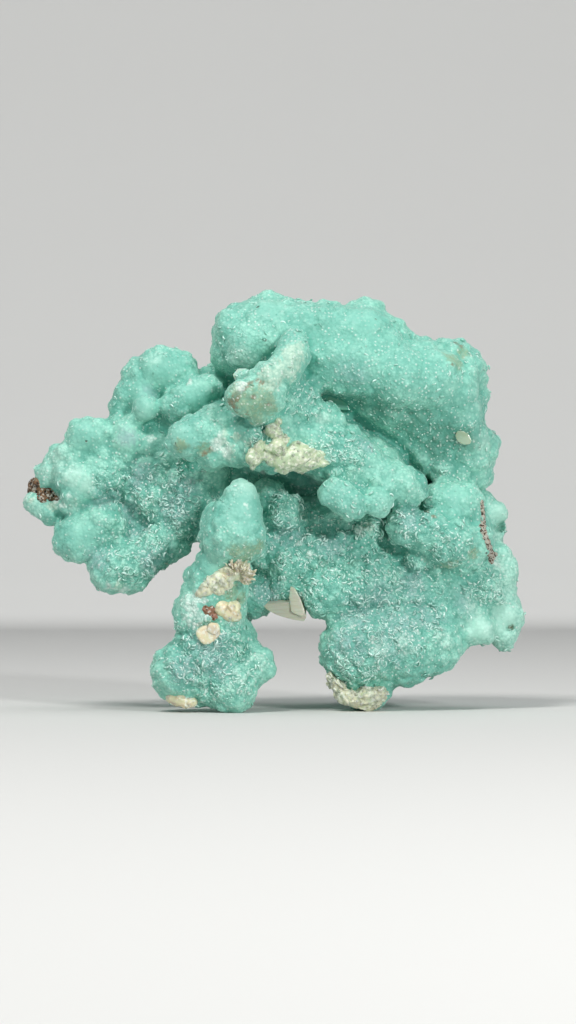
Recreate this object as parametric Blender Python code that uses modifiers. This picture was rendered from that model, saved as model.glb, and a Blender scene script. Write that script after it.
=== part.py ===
"""Botryoidal smithsonite with calcite crystals and gossan, standing on its own feet.

Frame: +Z up, the viewer stands at -Y, the origin is below the middle of the specimen on the ground.
The mass is one solid grown from rounded lobes. Crystals and gossan are solids of their own on it.
"""
import math

import bmesh
import bpy
from mathutils import Matrix, Vector

MM = 0.001

# Driving sizes
SKIN_VOXEL = 0.60 * MM
SKIN_TRIANGLES = 6600
CRYSTAL_VOXEL = 0.32 * MM
CRYSTAL_GAP = 0.38 * MM
POCKET_GAP = 0.40
POCKET_TRIANGLES = 220
LOBE_FINENESS = 3
SOFTEN_STRENGTH = 0.5
SOFTEN_PASSES = 2
CRYSTAL_BEVEL = 0.2
WELD_DISTANCE = 0.002 * MM
GROUND_SIZE = 120 * MM
FOOT_SINK = 0.3


def bead(x, y, z, radius):
    """A round lobe: centre and radius in millimetres."""
    return (x, y, z), (x, y, z), radius, radius


def roll(start, end, start_radius, end_radius):
    """A long lobe between two round ends, in millimetres."""
    return start, end, start_radius, end_radius


# Lobes of the mass, region by region
CORE = [
    roll((-4.0, 1.5, 26.0), (16.0, 1.5, 22.0), 6.0, 6.6),
    roll((-6.0, 2.0, 36.0), (14.0, 2.5, 34.0), 6.4, 6.6),
    roll((0.0, 2.0, 46.0), (17.0, 2.5, 46.0), 6.0, 6.5),
    roll((-19.0, 0.5, 34.0), (-8.0, 1.5, 32.0), 4.4, 6.0),
]
UPPER_MASS = [
    bead(-3.0, -3.5, 51.4, 5.5),
    bead(-0.3, -3.0, 56.1, 2.3),
    bead(-5.8, -3.5, 49.6, 2.9),
    bead(-3.2, -7.0, 50.6, 3.6),
    bead(-0.6, -8.4, 51.0, 2.4),
    bead(-5.5, -6.0, 53.0, 2.6),
    bead(1.4, -5.5, 54.4, 2.4),
    roll((2.0, -3.0, 51.5), (13.0, -3.5, 50.3), 5.3, 5.6),
    bead(3.4, -3.0, 55.3, 1.9),
    bead(7.8, -3.0, 54.9, 2.1),
    bead(12.9, -3.0, 54.3, 3.0),
    bead(15.4, -3.0, 50.6, 4.4),
    bead(6.0, -6.8, 52.6, 2.6),
    bead(10.6, -7.6, 51.6, 2.8),
    bead(15.6, -7.6, 50.0, 2.8),
    bead(20.4, -6.6, 48.8, 2.4),
    bead(21.8, -3.0, 48.6, 2.9),
    bead(24.8, -2.5, 46.6, 5.0),
    bead(26.6, -5.0, 47.2, 2.4),
    bead(27.2, -2.0, 43.9, 3.0),
    bead(26.8, -1.0, 40.5, 2.9),
    bead(28.8, -0.5, 36.4, 3.0),
    bead(28.7, 0.0, 32.9, 2.3),
    roll((4.5, -6.5, 49.6), (9.6, -7.4, 48.8), 3.8, 4.0),
    bead(8.4, -9.6, 48.8, 2.6),
    bead(12.8, -8.4, 47.6, 4.0),
    bead(17.6, -8.6, 46.1, 4.3),
    bead(22.4, -7.2, 45.8, 4.2),
    bead(25.2, -6.0, 44.6, 3.4),
]
UNDER_UPPER_MASS = [
    roll((9.0, 4.0, 42.5), (23.0, 2.5, 39.5), 5.0, 6.0),
    roll((21.0, 0.5, 36.0), (27.0, 0.5, 34.5), 3.6, 3.6),
    bead(21.2, -2.2, 35.2, 2.0),
    bead(25.6, -2.5, 33.8, 2.3),
    bead(17.2, -0.5, 37.6, 2.3),
    bead(13.8, -1.0, 38.0, 2.2),
    roll((20.5, -3.6, 40.0), (25.5, -3.0, 39.0), 2.6, 2.8),
]
FINGER = [
    roll((3.1, -11.0, 51.2), (2.8, -12.5, 48.6), 1.6, 2.4),
    roll((2.6, -12.8, 47.8), (-0.8, -14.8, 45.0), 2.4, 2.7),
    roll((-0.8, -15.0, 44.2), (-4.2, -16.2, 42.8), 2.7, 2.5),
    bead(-1.2, -14.5, 42.6, 2.6),
    roll((-3.9, -12.0, 46.0), (-2.0, -12.5, 44.5), 1.2, 2.0),
    roll((1.5, -11.5, 45.0), (3.5, -10.5, 42.0), 2.6, 3.2),
    roll((2.5, -7.0, 49.0), (1.0, -9.0, 44.0), 3.0, 3.4),
    bead(5.0, -8.5, 44.7, 2.0),
]
RIDGE = [
    bead(5.3, -9.5, 39.9, 3.0),
    bead(7.6, -9.0, 40.2, 2.3),
    bead(10.6, -8.5, 37.4, 2.1),
    roll((4.0, -9.5, 37.5), (12.0, -9.5, 33.8), 4.0, 3.6),
    roll((12.0, -9.5, 32.8), (18.2, -9.2, 30.9), 3.5, 2.9),
    bead(18.8, -9.0, 30.9, 2.7),
    roll((8.4, -12.0, 30.2), (10.8, -12.0, 28.5), 2.2, 2.2),
    bead(14.5, -11.8, 28.8, 2.2),
    roll((1.0, -11.0, 41.0), (0.5, -11.5, 36.5), 3.0, 3.6),
    bead(-2.5, -11.5, 37.5, 3.4),
    bead(-1.8, -12.5, 35.5, 2.4),
    roll((4.0, -5.0, 38.0), (14.0, -5.0, 33.0), 4.6, 4.4),
]
SIDE_FINGER = [
    roll((-7.2, -10.5, 38.5), (-11.9, -11.5, 37.5), 3.2, 2.7),
    bead(-7.8, -10.5, 40.2, 2.3),
    bead(-8.2, -10.5, 35.8, 2.6),
    bead(-5.0, -11.0, 36.0, 2.6),
    bead(-4.5, -10.0, 40.0, 2.6),
    roll((-7.0, -4.0, 38.5), (-5.0, -7.0, 38.5), 4.2, 3.6),
]
UPPER_LEFT = [
    roll((-17.0, 1.0, 43.5), (-9.0, 1.0, 42.5), 4.2, 4.6),
    bead(-18.8, -1.5, 46.8, 2.2),
    roll((-15.8, -2.0, 47.2), (-13.6, -2.0, 46.8), 3.3, 3.2),
    bead(-20.0, -2.0, 43.9, 2.1),
    bead(-18.2, -2.5, 44.6, 2.2),
    bead(-21.0, -1.5, 42.0, 2.0),
    bead(-17.7, -5.2, 41.8, 1.9),
    roll((-13.2, -5.2, 42.3), (-9.3, -4.8, 44.5), 2.0, 2.2),
    bead(-13.5, -2.5, 40.5, 2.2),
    roll((-8.6, 0.8, 44.0), (-5.4, 1.0, 46.0), 3.4, 3.6),
]
LEFT_WING = [
    roll((-29.0, 1.0, 32.0), (-20.0, 0.5, 34.5), 3.6, 5.0),
    roll((-26.2, -3.0, 38.1), (-24.2, -3.2, 38.3), 2.5, 2.3),
    roll((-20.4, -4.0, 38.5), (-20.2, -4.0, 37.2), 2.2, 2.2),
    bead(-29.4, -2.0, 34.8, 2.1),
    bead(-27.6, -2.5, 35.6, 2.3),
    roll((-27.9, -3.6, 32.2), (-26.6, -3.8, 32.0), 2.2, 2.3),
    roll((-27.2, -3.4, 30.3), (-23.6, -3.4, 32.6), 2.2, 2.6),
    roll((-28.7, -3.2, 28.4), (-27.6, -3.2, 28.8), 1.1, 1.2),
    bead(-31.4, -1.5, 32.6, 1.9),
    roll((-33.4, -0.8, 28.8), (-31.2, -1.0, 27.4), 1.5, 1.7),
    roll((-31.5, 0.8, 30.5), (-28.0, 0.8, 31.0), 2.2, 3.0),
    bead(-23.5, -2.8, 35.4, 2.4),
    bead(-21.5, -3.0, 34.2, 2.2),
    roll((-30.4, 0.6, 28.8), (-27.6, 0.6, 27.4), 1.9, 2.6),
]
LOWER_LEFT = [
    roll((-27.2, -3.5, 23.6), (-23.2, -3.8, 25.8), 3.3, 3.0),
    roll((-22.3, -4.5, 19.4), (-14.2, -4.0, 23.2), 3.3, 2.7),
    bead(-19.5, -4.0, 18.8, 2.7),
    roll((-24.0, 1.5, 24.5), (-16.0, 1.5, 27.0), 4.0, 4.6),
]
LEFT_SLOPE = [
    bead(-17.2, -3.2, 33.0, 2.8),
    bead(-14.0, -3.5, 35.6, 2.4),
    bead(-16.4, -3.5, 36.8, 2.2),
    bead(-13.2, -3.6, 31.6, 2.6),
    bead(-10.8, -4.2, 31.0, 2.2),
    bead(-11.2, -5.0, 28.2, 2.4),
    bead(-9.6, -4.5, 28.4, 1.8),
    bead(-16.8, -3.4, 29.6, 2.6),
    bead(-12.6, -4.6, 26.4, 2.2),
    bead(-18.6, -2.8, 30.8, 2.4),
    bead(-15.2, -2.4, 27.0, 2.6),
    bead(-8.0, -5.5, 33.0, 1.8),
    bead(-20.6, -2.2, 32.8, 2.4),
]
LEG = [
    roll((-4.2, -15.5, 29.2), (-5.4, -14.8, 24.4), 2.7, 4.5),
    roll((-6.5, -13.0, 21.0), (-8.2, -11.5, 14.5), 3.4, 4.7),
    bead(-9.4, -12.0, 13.4, 4.2),
    bead(-10.0, -11.0, 18.3, 2.0),
    roll((-6.0, -10.0, 24.0), (-4.5, -2.0, 25.0), 3.8, 5.0),
]
LEFT_FOOT = [
    bead(-12.4, -11.5, 5.4, 4.3),
    bead(-5.6, -13.0, 3.6 - FOOT_SINK, 3.6),
    bead(-2.3, -11.5, 6.3, 2.7),
    roll((-9.0, -11.0, 7.0), (-8.2, -11.0, 10.5), 5.0, 5.0),
    bead(-9.5, -12.0, 3.6, 2.9),
    bead(-6.0, -10.0, 9.5, 4.0),
]
ARCH_ROOF = [
    bead(-2.6, -6.0, 15.6, 2.9),
    bead(1.8, -6.0, 17.4, 3.0),
    bead(7.6, -7.5, 16.2, 3.6),
    bead(11.2, -7.0, 17.5, 3.6),
    bead(2.2, -7.5, 20.0, 2.6),
    bead(6.2, -7.0, 21.4, 2.6),
    bead(14.0, -6.5, 19.5, 3.0),
    bead(9.5, -5.5, 22.5, 2.6),
    bead(1.8, -7.5, 27.3, 2.6),
    bead(-0.5, -6.5, 30.0, 2.0),
    bead(4.5, -5.5, 24.5, 2.4),
    bead(13.4, -6.5, 25.2, 1.8),
    roll((-2.0, -1.0, 19.0), (12.0, -1.5, 19.0), 4.6, 5.0),
]
RIGHT_WING = [
    bead(18.4, -8.5, 25.4, 2.7),
    bead(21.4, -8.6, 24.8, 2.8),
    bead(24.6, -7.6, 23.4, 3.4),
    bead(28.0, -5.4, 23.4, 2.8),
    bead(26.6, -6.2, 21.8, 2.6),
    roll((25.6, -4.5, 28.8), (25.8, -4.0, 27.5), 3.2, 3.4),
    bead(22.3, -5.0, 27.3, 1.6),
    roll((22.0, -2.0, 26.0), (27.0, -1.0, 25.0), 4.5, 3.8),
    bead(29.9, -0.6, 28.6, 1.4),
    roll((30.6, -0.5, 27.6), (31.8, -0.5, 27.1), 1.5, 1.2),
    roll((30.6, -0.3, 24.6), (31.6, -0.3, 24.6), 1.4, 1.1),
    roll((30.4, 0.6, 27.0), (30.2, 0.6, 21.0), 1.4, 2.2),
]
RIGHT_EDGE = [
    bead(31.8, -1.5, 19.0, 2.7),
    bead(31.5, -1.5, 21.0, 2.0),
    bead(32.4, -1.5, 12.9, 2.8),
    bead(31.8, -1.5, 15.6, 2.4),
    bead(32.2, -2.0, 10.4, 2.1),
    bead(28.9, -3.5, 11.2, 2.6),
    bead(25.6, -4.0, 10.8, 2.8),
]
RIGHT_VALLEY = [
    bead(18.3, -5.5, 16.0, 2.0),
    bead(23.0, -4.5, 16.5, 2.6),
    bead(26.6, -4.2, 16.4, 2.3),
    bead(29.4, -3.4, 16.6, 2.6),
    bead(22.0, -4.5, 12.6, 3.0),
    bead(26.0, -3.5, 13.6, 2.6),
    bead(16.0, -6.0, 14.2, 2.6),
    bead(20.5, -3.5, 18.8, 2.2),
    roll((14.0, 1.0, 14.5), (27.0, 1.0, 16.0), 5.4, 5.0),
    roll((24.0, 0.0, 19.0), (29.0, 0.0, 17.0), 3.6, 3.4),
]
RIGHT_FOOT = [
    bead(12.0, -7.5, 8.4, 5.4),
    roll((12.0, -6.0, 8.2), (18.0, -6.0, 8.6), 5.2, 5.2),
    roll((19.0, -6.0, 8.8), (22.6, -5.5, 8.9), 4.8, 3.8),
    bead(12.8, -6.0, 3.9 - FOOT_SINK, 3.9),
]
BACK_UPPER = [
    roll((-2.0, 3.5, 50.5), (12.0, 4.0, 49.5), 5.0, 5.4),
    bead(-2.6, 5.5, 52.4, 3.4),
    bead(3.4, 6.4, 52.8, 3.4),
    bead(9.4, 7.0, 52.0, 3.8),
    bead(15.2, 6.0, 50.2, 4.0),
    bead(20.6, 3.5, 47.4, 4.6),
    bead(25.5, 3.0, 43.0, 4.0),
    bead(5.0, 8.6, 47.6, 4.0),
    bead(12.0, 9.4, 45.6, 4.6),
    bead(19.0, 7.4, 41.8, 4.4),
    bead(-2.6, 8.2, 46.4, 3.4),
]
BACK_MIDDLE = [
    bead(-14.0, 5.0, 42.0, 4.0),
    bead(-20.0, 3.5, 38.0, 4.0),
    bead(-25.4, 2.4, 36.0, 3.0),
    bead(-7.0, 7.0, 41.0, 4.2),
    bead(-4.6, 8.6, 35.6, 4.6),
    bead(2.2, 10.2, 38.0, 4.4),
    bead(8.6, 9.2, 35.4, 5.0),
    bead(3.0, 10.4, 32.4, 3.8),
    bead(15.4, 8.4, 34.6, 4.6),
    bead(-12.6, 6.2, 34.6, 4.5),
    bead(-24.5, 3.0, 30.6, 3.8),
    bead(-18.6, 5.8, 31.4, 3.4),
    bead(22.6, 5.0, 35.0, 4.2),
    bead(26.0, 2.4, 30.6, 3.4),
]
BACK_LOWER = [
    roll((-22.0, 4.0, 25.0), (-16.5, 4.6, 26.4), 3.6, 3.8),
    bead(-5.4, 8.0, 28.6, 4.6),
    bead(3.6, 9.0, 26.0, 4.8),
    bead(11.4, 8.4, 26.6, 4.8),
    bead(19.4, 6.4, 27.0, 4.6),
    bead(26.0, 3.6, 23.6, 4.2),
    bead(27.8, 2.6, 16.6, 3.8),
    bead(22.0, 5.2, 18.2, 4.4),
    bead(24.8, 3.4, 11.6, 3.4),
    bead(18.0, 4.6, 11.6, 4.2),
]
REAR_FEET = [
    roll((12.0, 7.0, 21.0), (13.6, 10.6, 12.8), 6.0, 4.4),
    roll((13.6, 11.0, 12.4), (13.2, 14.2, 6.4), 4.4, 4.2),
    bead(13.2, 15.2, 3.9 - FOOT_SINK, 3.9),
    bead(11.4, 13.0, 8.0, 3.4),
    bead(15.8, 14.2, 9.2, 3.2),
    bead(13.2, 15.2, 12.8, 3.0),
    bead(9.8, 12.4, 16.4, 3.4),
    bead(16.4, 11.8, 17.4, 3.6),
    bead(13.0, 12.8, 21.4, 3.4),
    roll((-3.5, 7.5, 25.0), (-5.8, 10.2, 17.6), 5.0, 4.0),
    roll((-6.0, 10.8, 17.0), (-8.6, 14.0, 8.4), 4.0, 4.2),
    bead(-9.2, 15.4, 3.8 - FOOT_SINK, 3.8),
    bead(-6.0, 14.6, 4.8, 3.0),
    bead(-11.0, 13.6, 8.0, 2.9),
    bead(-8.4, 15.8, 11.2, 2.9),
    bead(-4.2, 12.6, 19.2, 3.2),
    bead(-6.8, 12.8, 15.2, 3.4),
]
MASS = (
    CORE + UPPER_MASS + UNDER_UPPER_MASS + FINGER + RIDGE + SIDE_FINGER + UPPER_LEFT + LEFT_WING
    + LOWER_LEFT + LEFT_SLOPE + LEG + LEFT_FOOT + ARCH_ROOF + RIGHT_WING + RIGHT_EDGE
    + RIGHT_VALLEY + RIGHT_FOOT + BACK_UPPER + BACK_MIDDLE + BACK_LOWER + REAR_FEET
)

# Lumps of the pieces that grew on the mass or show where it broke
GOSSAN_CORE_LEFT = [
    roll((-32.9, -2.2, 31.0), (-31.4, -2.8, 29.8), 1.3, 1.5),
    bead(-30.8, -3.0, 30.3, 1.2),
]
GOSSAN_SPOT_LEG = [bead(-8.9, -15.7, 13.4, 1.1)]
CALCITE_CRUST_CENTRE = [
    bead(0.6, -14.8, 38.8, 1.6),
    bead(0.9, -15.2, 36.6, 1.6),
    bead(-2.0, -14.9, 35.0, 1.7),
    roll((0.5, -14.8, 35.0), (3.6, -13.8, 35.1), 1.5, 1.8),
    roll((3.6, -13.8, 34.8), (6.6, -12.8, 34.5), 1.4, 0.8),
]
CALCITE_CLUSTER_LEG = [
    roll((-6.0, -16.4, 19.4), (-3.4, -15.8, 19.6), 1.2, 1.0),
    bead(-4.6, -16.4, 19.0, 1.3),
    roll((-6.4, -16.2, 18.6), (-7.2, -16.0, 17.0), 1.1, 1.2),
    roll((-7.6, -15.9, 16.6), (-9.6, -15.2, 16.3), 1.2, 1.0),
]
CALCITE_PATCH_LEG = [
    roll((-6.7, -15.6, 14.2), (-5.2, -15.0, 13.6), 1.1, 1.2),
]
CALCITE_TOOTH_LEG = [
    roll((-9.3, -15.8, 10.7), (-8.1, -15.9, 10.9), 1.4, 1.4),
    bead(-9.3, -15.7, 10.3, 1.2),
]
CALCITE_CRUST_LEFT_FOOT = [
    roll((-13.4, -13.6, 1.9), (-11.0, -14.0, 1.7), 1.2, 1.0),
]
CALCITE_TUFT_RIGHT_FOOT = [
    roll((8.4, -9.4, 4.6), (10.4, -10.0, 2.2), 1.0, 1.3),
    roll((10.6, -10.2, 1.9), (13.0, -10.2, 2.1), 1.4, 1.5),
    roll((13.0, -10.2, 2.1), (15.0, -9.4, 2.2), 1.5, 1.1),
]

# Flat crystals: centre, length x thickness x height in millimetres, and turns about X, Y, Z in degrees
ARCH_BLADES = [
    ((1.6, -6.6, 13.6), (6.2, 3.6, 1.4), (20, 12, 0)),
    ((3.4, -7.6, 14.6), (1.8, 1.2, 4.8), (0, -14, 30)),
]
PLATE_UPPER = [((26.4, -5.0, 37.9), (2.3, 0.9, 1.9), (-18, 20, 10))]
PLATE_CREVICE = [((9.0, -3.0, 42.8), (3.8, 0.9, 3.2), (-10, 62, 18))]

# The broken face near the right edge, filled by a thin seam
SEAM_RIGHT = [((29.9, -2.4, 25.0), (0.8, 3.0, 8.6), (0, -11, 0))]


def clear_scene():
    for old in list(bpy.data.objects):
        bpy.data.objects.remove(old, do_unlink=True)


def new_collection(name):
    group = bpy.data.collections.new(name)
    bpy.context.scene.collection.children.link(group)
    return group


def material(name, colour, roughness):
    """A matte to waxy stone finish."""
    finish = bpy.data.materials.new(name)
    finish.use_nodes = True
    shader = finish.node_tree.nodes["Principled BSDF"]
    shader.inputs["Base Color"].default_value = (*colour, 1.0)
    shader.inputs["Roughness"].default_value = roughness
    shader.inputs["Metallic"].default_value = 0.0
    finish.diffuse_color = (*colour, 1.0)
    return finish


def add_lobe(shape, lobe, grow):
    """Adds one lobe: the hull round its two end spheres."""
    start, end, start_radius, end_radius = lobe
    ends = [(start, start_radius)]
    if start != end:
        ends.append((end, end_radius))
    part = bmesh.new()
    for centre, radius in ends:
        bmesh.ops.create_icosphere(
            part,
            subdivisions=LOBE_FINENESS,
            radius=(radius + grow) * MM,
            matrix=Matrix.Translation(Vector(centre) * MM),
        )
    if len(ends) == 2:
        hull = bmesh.ops.convex_hull(part, input=part.verts)
        bmesh.ops.delete(part, geom=hull["geom_interior"], context="VERTS")
    bmesh.ops.recalc_face_normals(part, faces=part.faces)
    copy = bpy.data.meshes.new("lobe")
    part.to_mesh(copy)
    part.free()
    shape.from_mesh(copy)
    bpy.data.meshes.remove(copy)


def add_plate(shape, plate, grow):
    """Adds one flat crystal as a bevelled block."""
    centre, size, turns = plate
    turn = Matrix.Identity(3)
    for axis, degrees in zip("XYZ", turns):
        turn = Matrix.Rotation(math.radians(degrees), 3, axis) @ turn
    sides = Matrix.Diagonal([(side + 2 * grow) * MM for side in size])
    place = Matrix.Translation(Vector(centre) * MM) @ (turn @ sides).to_4x4()
    made = bmesh.ops.create_cube(shape, size=1.0, matrix=place)
    bevelled = [edge for edge in shape.edges if edge.verts[0] in made["verts"]]
    width = CRYSTAL_BEVEL * min(size) * MM
    bmesh.ops.bevel(shape, geom=bevelled, offset=width, segments=1, affect="EDGES", profile=0.5, material=-1)


def mesh_object(name, group, lobes=(), plates=(), grow=0.0):
    shape = bmesh.new()
    for lobe in lobes:
        add_lobe(shape, lobe, grow)
    for plate in plates:
        add_plate(shape, plate, grow)
    mesh = bpy.data.meshes.new(name)
    shape.to_mesh(mesh)
    shape.free()
    made = bpy.data.objects.new(name, mesh)
    group.objects.link(made)
    return made


def fuse(made, voxel, triangles):
    """Grows overlapping lobes together into one skin, with about the given number of triangles."""
    skin = made.modifiers.new("one skin", "REMESH")
    skin.mode = "VOXEL"
    skin.voxel_size = voxel
    soften = made.modifiers.new("soften", "SMOOTH")
    soften.factor = SOFTEN_STRENGTH
    soften.iterations = SOFTEN_PASSES
    faces = count_triangles(made)
    thin = made.modifiers.new("fewer triangles", "DECIMATE")
    thin.ratio = min(1.0, triangles / faces)
    thin.use_collapse_triangulate = True


def count_triangles(made):
    bpy.context.view_layer.update()
    evaluated = made.evaluated_get(bpy.context.evaluated_depsgraph_get())
    mesh = evaluated.to_mesh()
    count = sum(len(face.vertices) - 2 for face in mesh.polygons)
    evaluated.to_mesh_clear()
    return count


def apply_modifiers(made):
    """Replaces an object's mesh by the shape that its modifiers give."""
    bpy.context.view_layer.update()
    evaluated = made.evaluated_get(bpy.context.evaluated_depsgraph_get())
    mesh = bpy.data.meshes.new_from_object(evaluated)
    made.modifiers.clear()
    made.data = mesh


def keep_largest(made):
    """Drops chips that a cut leaves loose, and keeps the one solid."""
    shape = bmesh.new()
    shape.from_mesh(made.data)
    bmesh.ops.remove_doubles(shape, verts=shape.verts, dist=WELD_DISTANCE)
    left = set(shape.verts)
    islands = []
    while left:
        first = left.pop()
        island = {first}
        reached = [first]
        while reached:
            for edge in reached.pop().link_edges:
                for vert in edge.verts:
                    if vert in left:
                        left.discard(vert)
                        island.add(vert)
                        reached.append(vert)
        islands.append(island)
    largest = max(islands, key=len)
    chips = [vert for vert in shape.verts if vert not in largest]
    bmesh.ops.delete(shape, geom=chips, context="VERTS")
    bmesh.ops.triangulate(shape, faces=shape.faces)
    shape.to_mesh(made.data)
    shape.free()


def cut(made, cutter):
    knife = made.modifiers.new("cut by " + cutter.name, "BOOLEAN")
    knife.operation = "DIFFERENCE"
    knife.solver = "EXACT"
    knife.object = cutter


def hide_cutter(cutter):
    cutter.hide_render = True
    cutter.display_type = "WIRE"


def build_ground(cutters):
    """Everything under Z = 0, which cuts the feet flat."""
    shape = bmesh.new()
    place = Matrix.Translation((0, 0, -GROUND_SIZE / 2))
    bmesh.ops.create_cube(shape, size=GROUND_SIZE, matrix=place)
    mesh = bpy.data.meshes.new("ground")
    shape.to_mesh(mesh)
    shape.free()
    ground = bpy.data.objects.new("ground", mesh)
    cutters.objects.link(ground)
    hide_cutter(ground)
    return ground


def build_pocket(name, cutters, lobes=(), plates=()):
    """The room that a piece of gossan takes up in the mass."""
    pocket = mesh_object(name, cutters, lobes=lobes, plates=plates, grow=POCKET_GAP)
    fuse(pocket, CRYSTAL_VOXEL, POCKET_TRIANGLES)
    apply_modifiers(pocket)
    hide_cutter(pocket)
    return pocket


def build_smithsonite(group, ground, pockets):
    mass = mesh_object("smithsonite", group, lobes=MASS)
    fuse(mass, SKIN_VOXEL, SKIN_TRIANGLES)
    for cutter in [ground, *pockets]:
        cut(mass, cutter)
    apply_modifiers(mass)
    keep_largest(mass)
    mass.data.shade_smooth()
    return mass


def build_clearance(cutters, mass):
    """The finished mass made a little larger, which leaves a thin gap under what grew on it."""
    clearance = bpy.data.objects.new("clearance", mass.data.copy())
    cutters.objects.link(clearance)
    swell = clearance.modifiers.new("swell", "DISPLACE")
    swell.mid_level = 0.0
    swell.strength = CRYSTAL_GAP
    fuse(clearance, SKIN_VOXEL, SKIN_TRIANGLES)
    apply_modifiers(clearance)
    hide_cutter(clearance)
    return clearance


def build_gossan(name, group, triangles, lobes=(), plates=()):
    """A whole lump of gossan, which lies in its pocket."""
    piece = mesh_object(name, group, lobes=lobes, plates=plates)
    fuse(piece, CRYSTAL_VOXEL, triangles)
    apply_modifiers(piece)
    return piece


def build_crystal(name, group, clearance, triangles, lobes=(), plates=()):
    """A crystal piece on the mass, trimmed to sit on it with a thin gap."""
    piece = mesh_object(name, group, lobes=lobes, plates=plates)
    fuse(piece, CRYSTAL_VOXEL, triangles)
    apply_modifiers(piece)
    cut(piece, clearance)
    apply_modifiers(piece)
    keep_largest(piece)
    return piece


def main():
    clear_scene()
    specimen = new_collection("smithsonite specimen")
    cutters = new_collection("cutters")
    blue_green = material("smithsonite", (0.30, 0.66, 0.56), 0.42)
    cream = material("cream calcite", (0.69, 0.66, 0.47), 0.38)
    brown = material("gossan", (0.21, 0.15, 0.09), 0.9)

    # Name, lobes, plates and the number of triangles to aim for
    gossan = [
        ("gossan_core_left", GOSSAN_CORE_LEFT, (), 160),
        ("gossan_spot_leg", GOSSAN_SPOT_LEG, (), 100),
        ("gossan_seam_right", (), SEAM_RIGHT, 140),
    ]
    pockets = []
    for name, lobes, plates, triangles in gossan:
        build_gossan(name, specimen, triangles, lobes, plates).data.materials.append(brown)
        pockets.append(build_pocket(name + " pocket", cutters, lobes, plates))

    ground = build_ground(cutters)
    mass = build_smithsonite(specimen, ground, pockets)
    mass.data.materials.append(blue_green)

    clearance = build_clearance(cutters, mass)
    # Name, lobes, plates and the number of triangles to aim for
    crystals = [
        ("calcite_crust_centre", CALCITE_CRUST_CENTRE, (), 260),
        ("calcite_cluster_leg", CALCITE_CLUSTER_LEG, (), 240),
        ("calcite_patch_leg", CALCITE_PATCH_LEG, (), 120),
        ("calcite_tooth_leg", CALCITE_TOOTH_LEG, (), 120),
        ("calcite_crust_left_foot", CALCITE_CRUST_LEFT_FOOT, (), 120),
        ("calcite_tuft_right_foot", CALCITE_TUFT_RIGHT_FOOT, (), 220),
        ("calcite_blades_arch", (), ARCH_BLADES, 160),
        ("calcite_plate_upper", (), PLATE_UPPER, 100),
        ("calcite_plate_crevice", (), PLATE_CREVICE, 100),
    ]
    for name, lobes, plates, triangles in crystals:
        piece = build_crystal(name, specimen, clearance, triangles, lobes, plates)
        piece.data.materials.append(cream)


main()
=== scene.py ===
"""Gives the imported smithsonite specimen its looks: the waxy blue-green mass with its skin of tiny crystals,
the cream calcite grown on it, the brown gossan at its breaks, and the stage it is photographed on.

Lengths are in millimetres in the tables below and in metres in every mesh. The viewer stands at -Y.
"""
import math

import bmesh
import bpy
import numpy as np
from bpy.props import FloatProperty, FloatVectorProperty, IntProperty, PointerProperty
from mathutils import Matrix, Vector, noise
from mathutils.bvhtree import BVHTree
from mathutils.kdtree import KDTree


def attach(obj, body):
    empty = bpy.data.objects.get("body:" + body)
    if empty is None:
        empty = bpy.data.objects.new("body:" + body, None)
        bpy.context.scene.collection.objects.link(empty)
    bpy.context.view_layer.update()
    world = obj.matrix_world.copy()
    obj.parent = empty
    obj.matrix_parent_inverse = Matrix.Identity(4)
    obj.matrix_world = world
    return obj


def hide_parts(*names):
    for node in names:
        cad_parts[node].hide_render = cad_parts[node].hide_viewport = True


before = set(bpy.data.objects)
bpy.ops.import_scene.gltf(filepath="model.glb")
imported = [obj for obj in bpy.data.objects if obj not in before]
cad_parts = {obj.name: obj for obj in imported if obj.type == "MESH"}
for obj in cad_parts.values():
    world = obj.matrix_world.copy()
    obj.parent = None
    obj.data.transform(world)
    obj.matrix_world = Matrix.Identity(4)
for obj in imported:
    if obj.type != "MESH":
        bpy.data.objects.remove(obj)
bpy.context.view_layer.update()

bl_info = {
    "name": "Smithsonite specimen",
    "version": (1, 0, 0),
    "blender": (4, 5, 0),
    "location": "3D View > Sidebar > Smithsonite",
    "description": "Builds the looks of a botryoidal smithsonite specimen around its packed solids",
    "category": "Object",
}

MM = 0.001
BODY = "root"

# The viewer's place and the picture's frame
VIEW_DISTANCE = 600.0
VIEW_AIM = (2.17, 0.0, 27.44)
MM_PER_PIXEL = 0.14
PICTURE_HEIGHT = 1024
SENSOR_WIDTH = 36.0


def bead(x, y, z, radius):
    """A round lobe: centre and radius in millimetres."""
    return (x, y, z), (x, y, z), radius, radius


def roll(start, end, start_radius, end_radius):
    """A long lobe between two round ends, in millimetres."""
    return start, end, start_radius, end_radius


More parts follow.
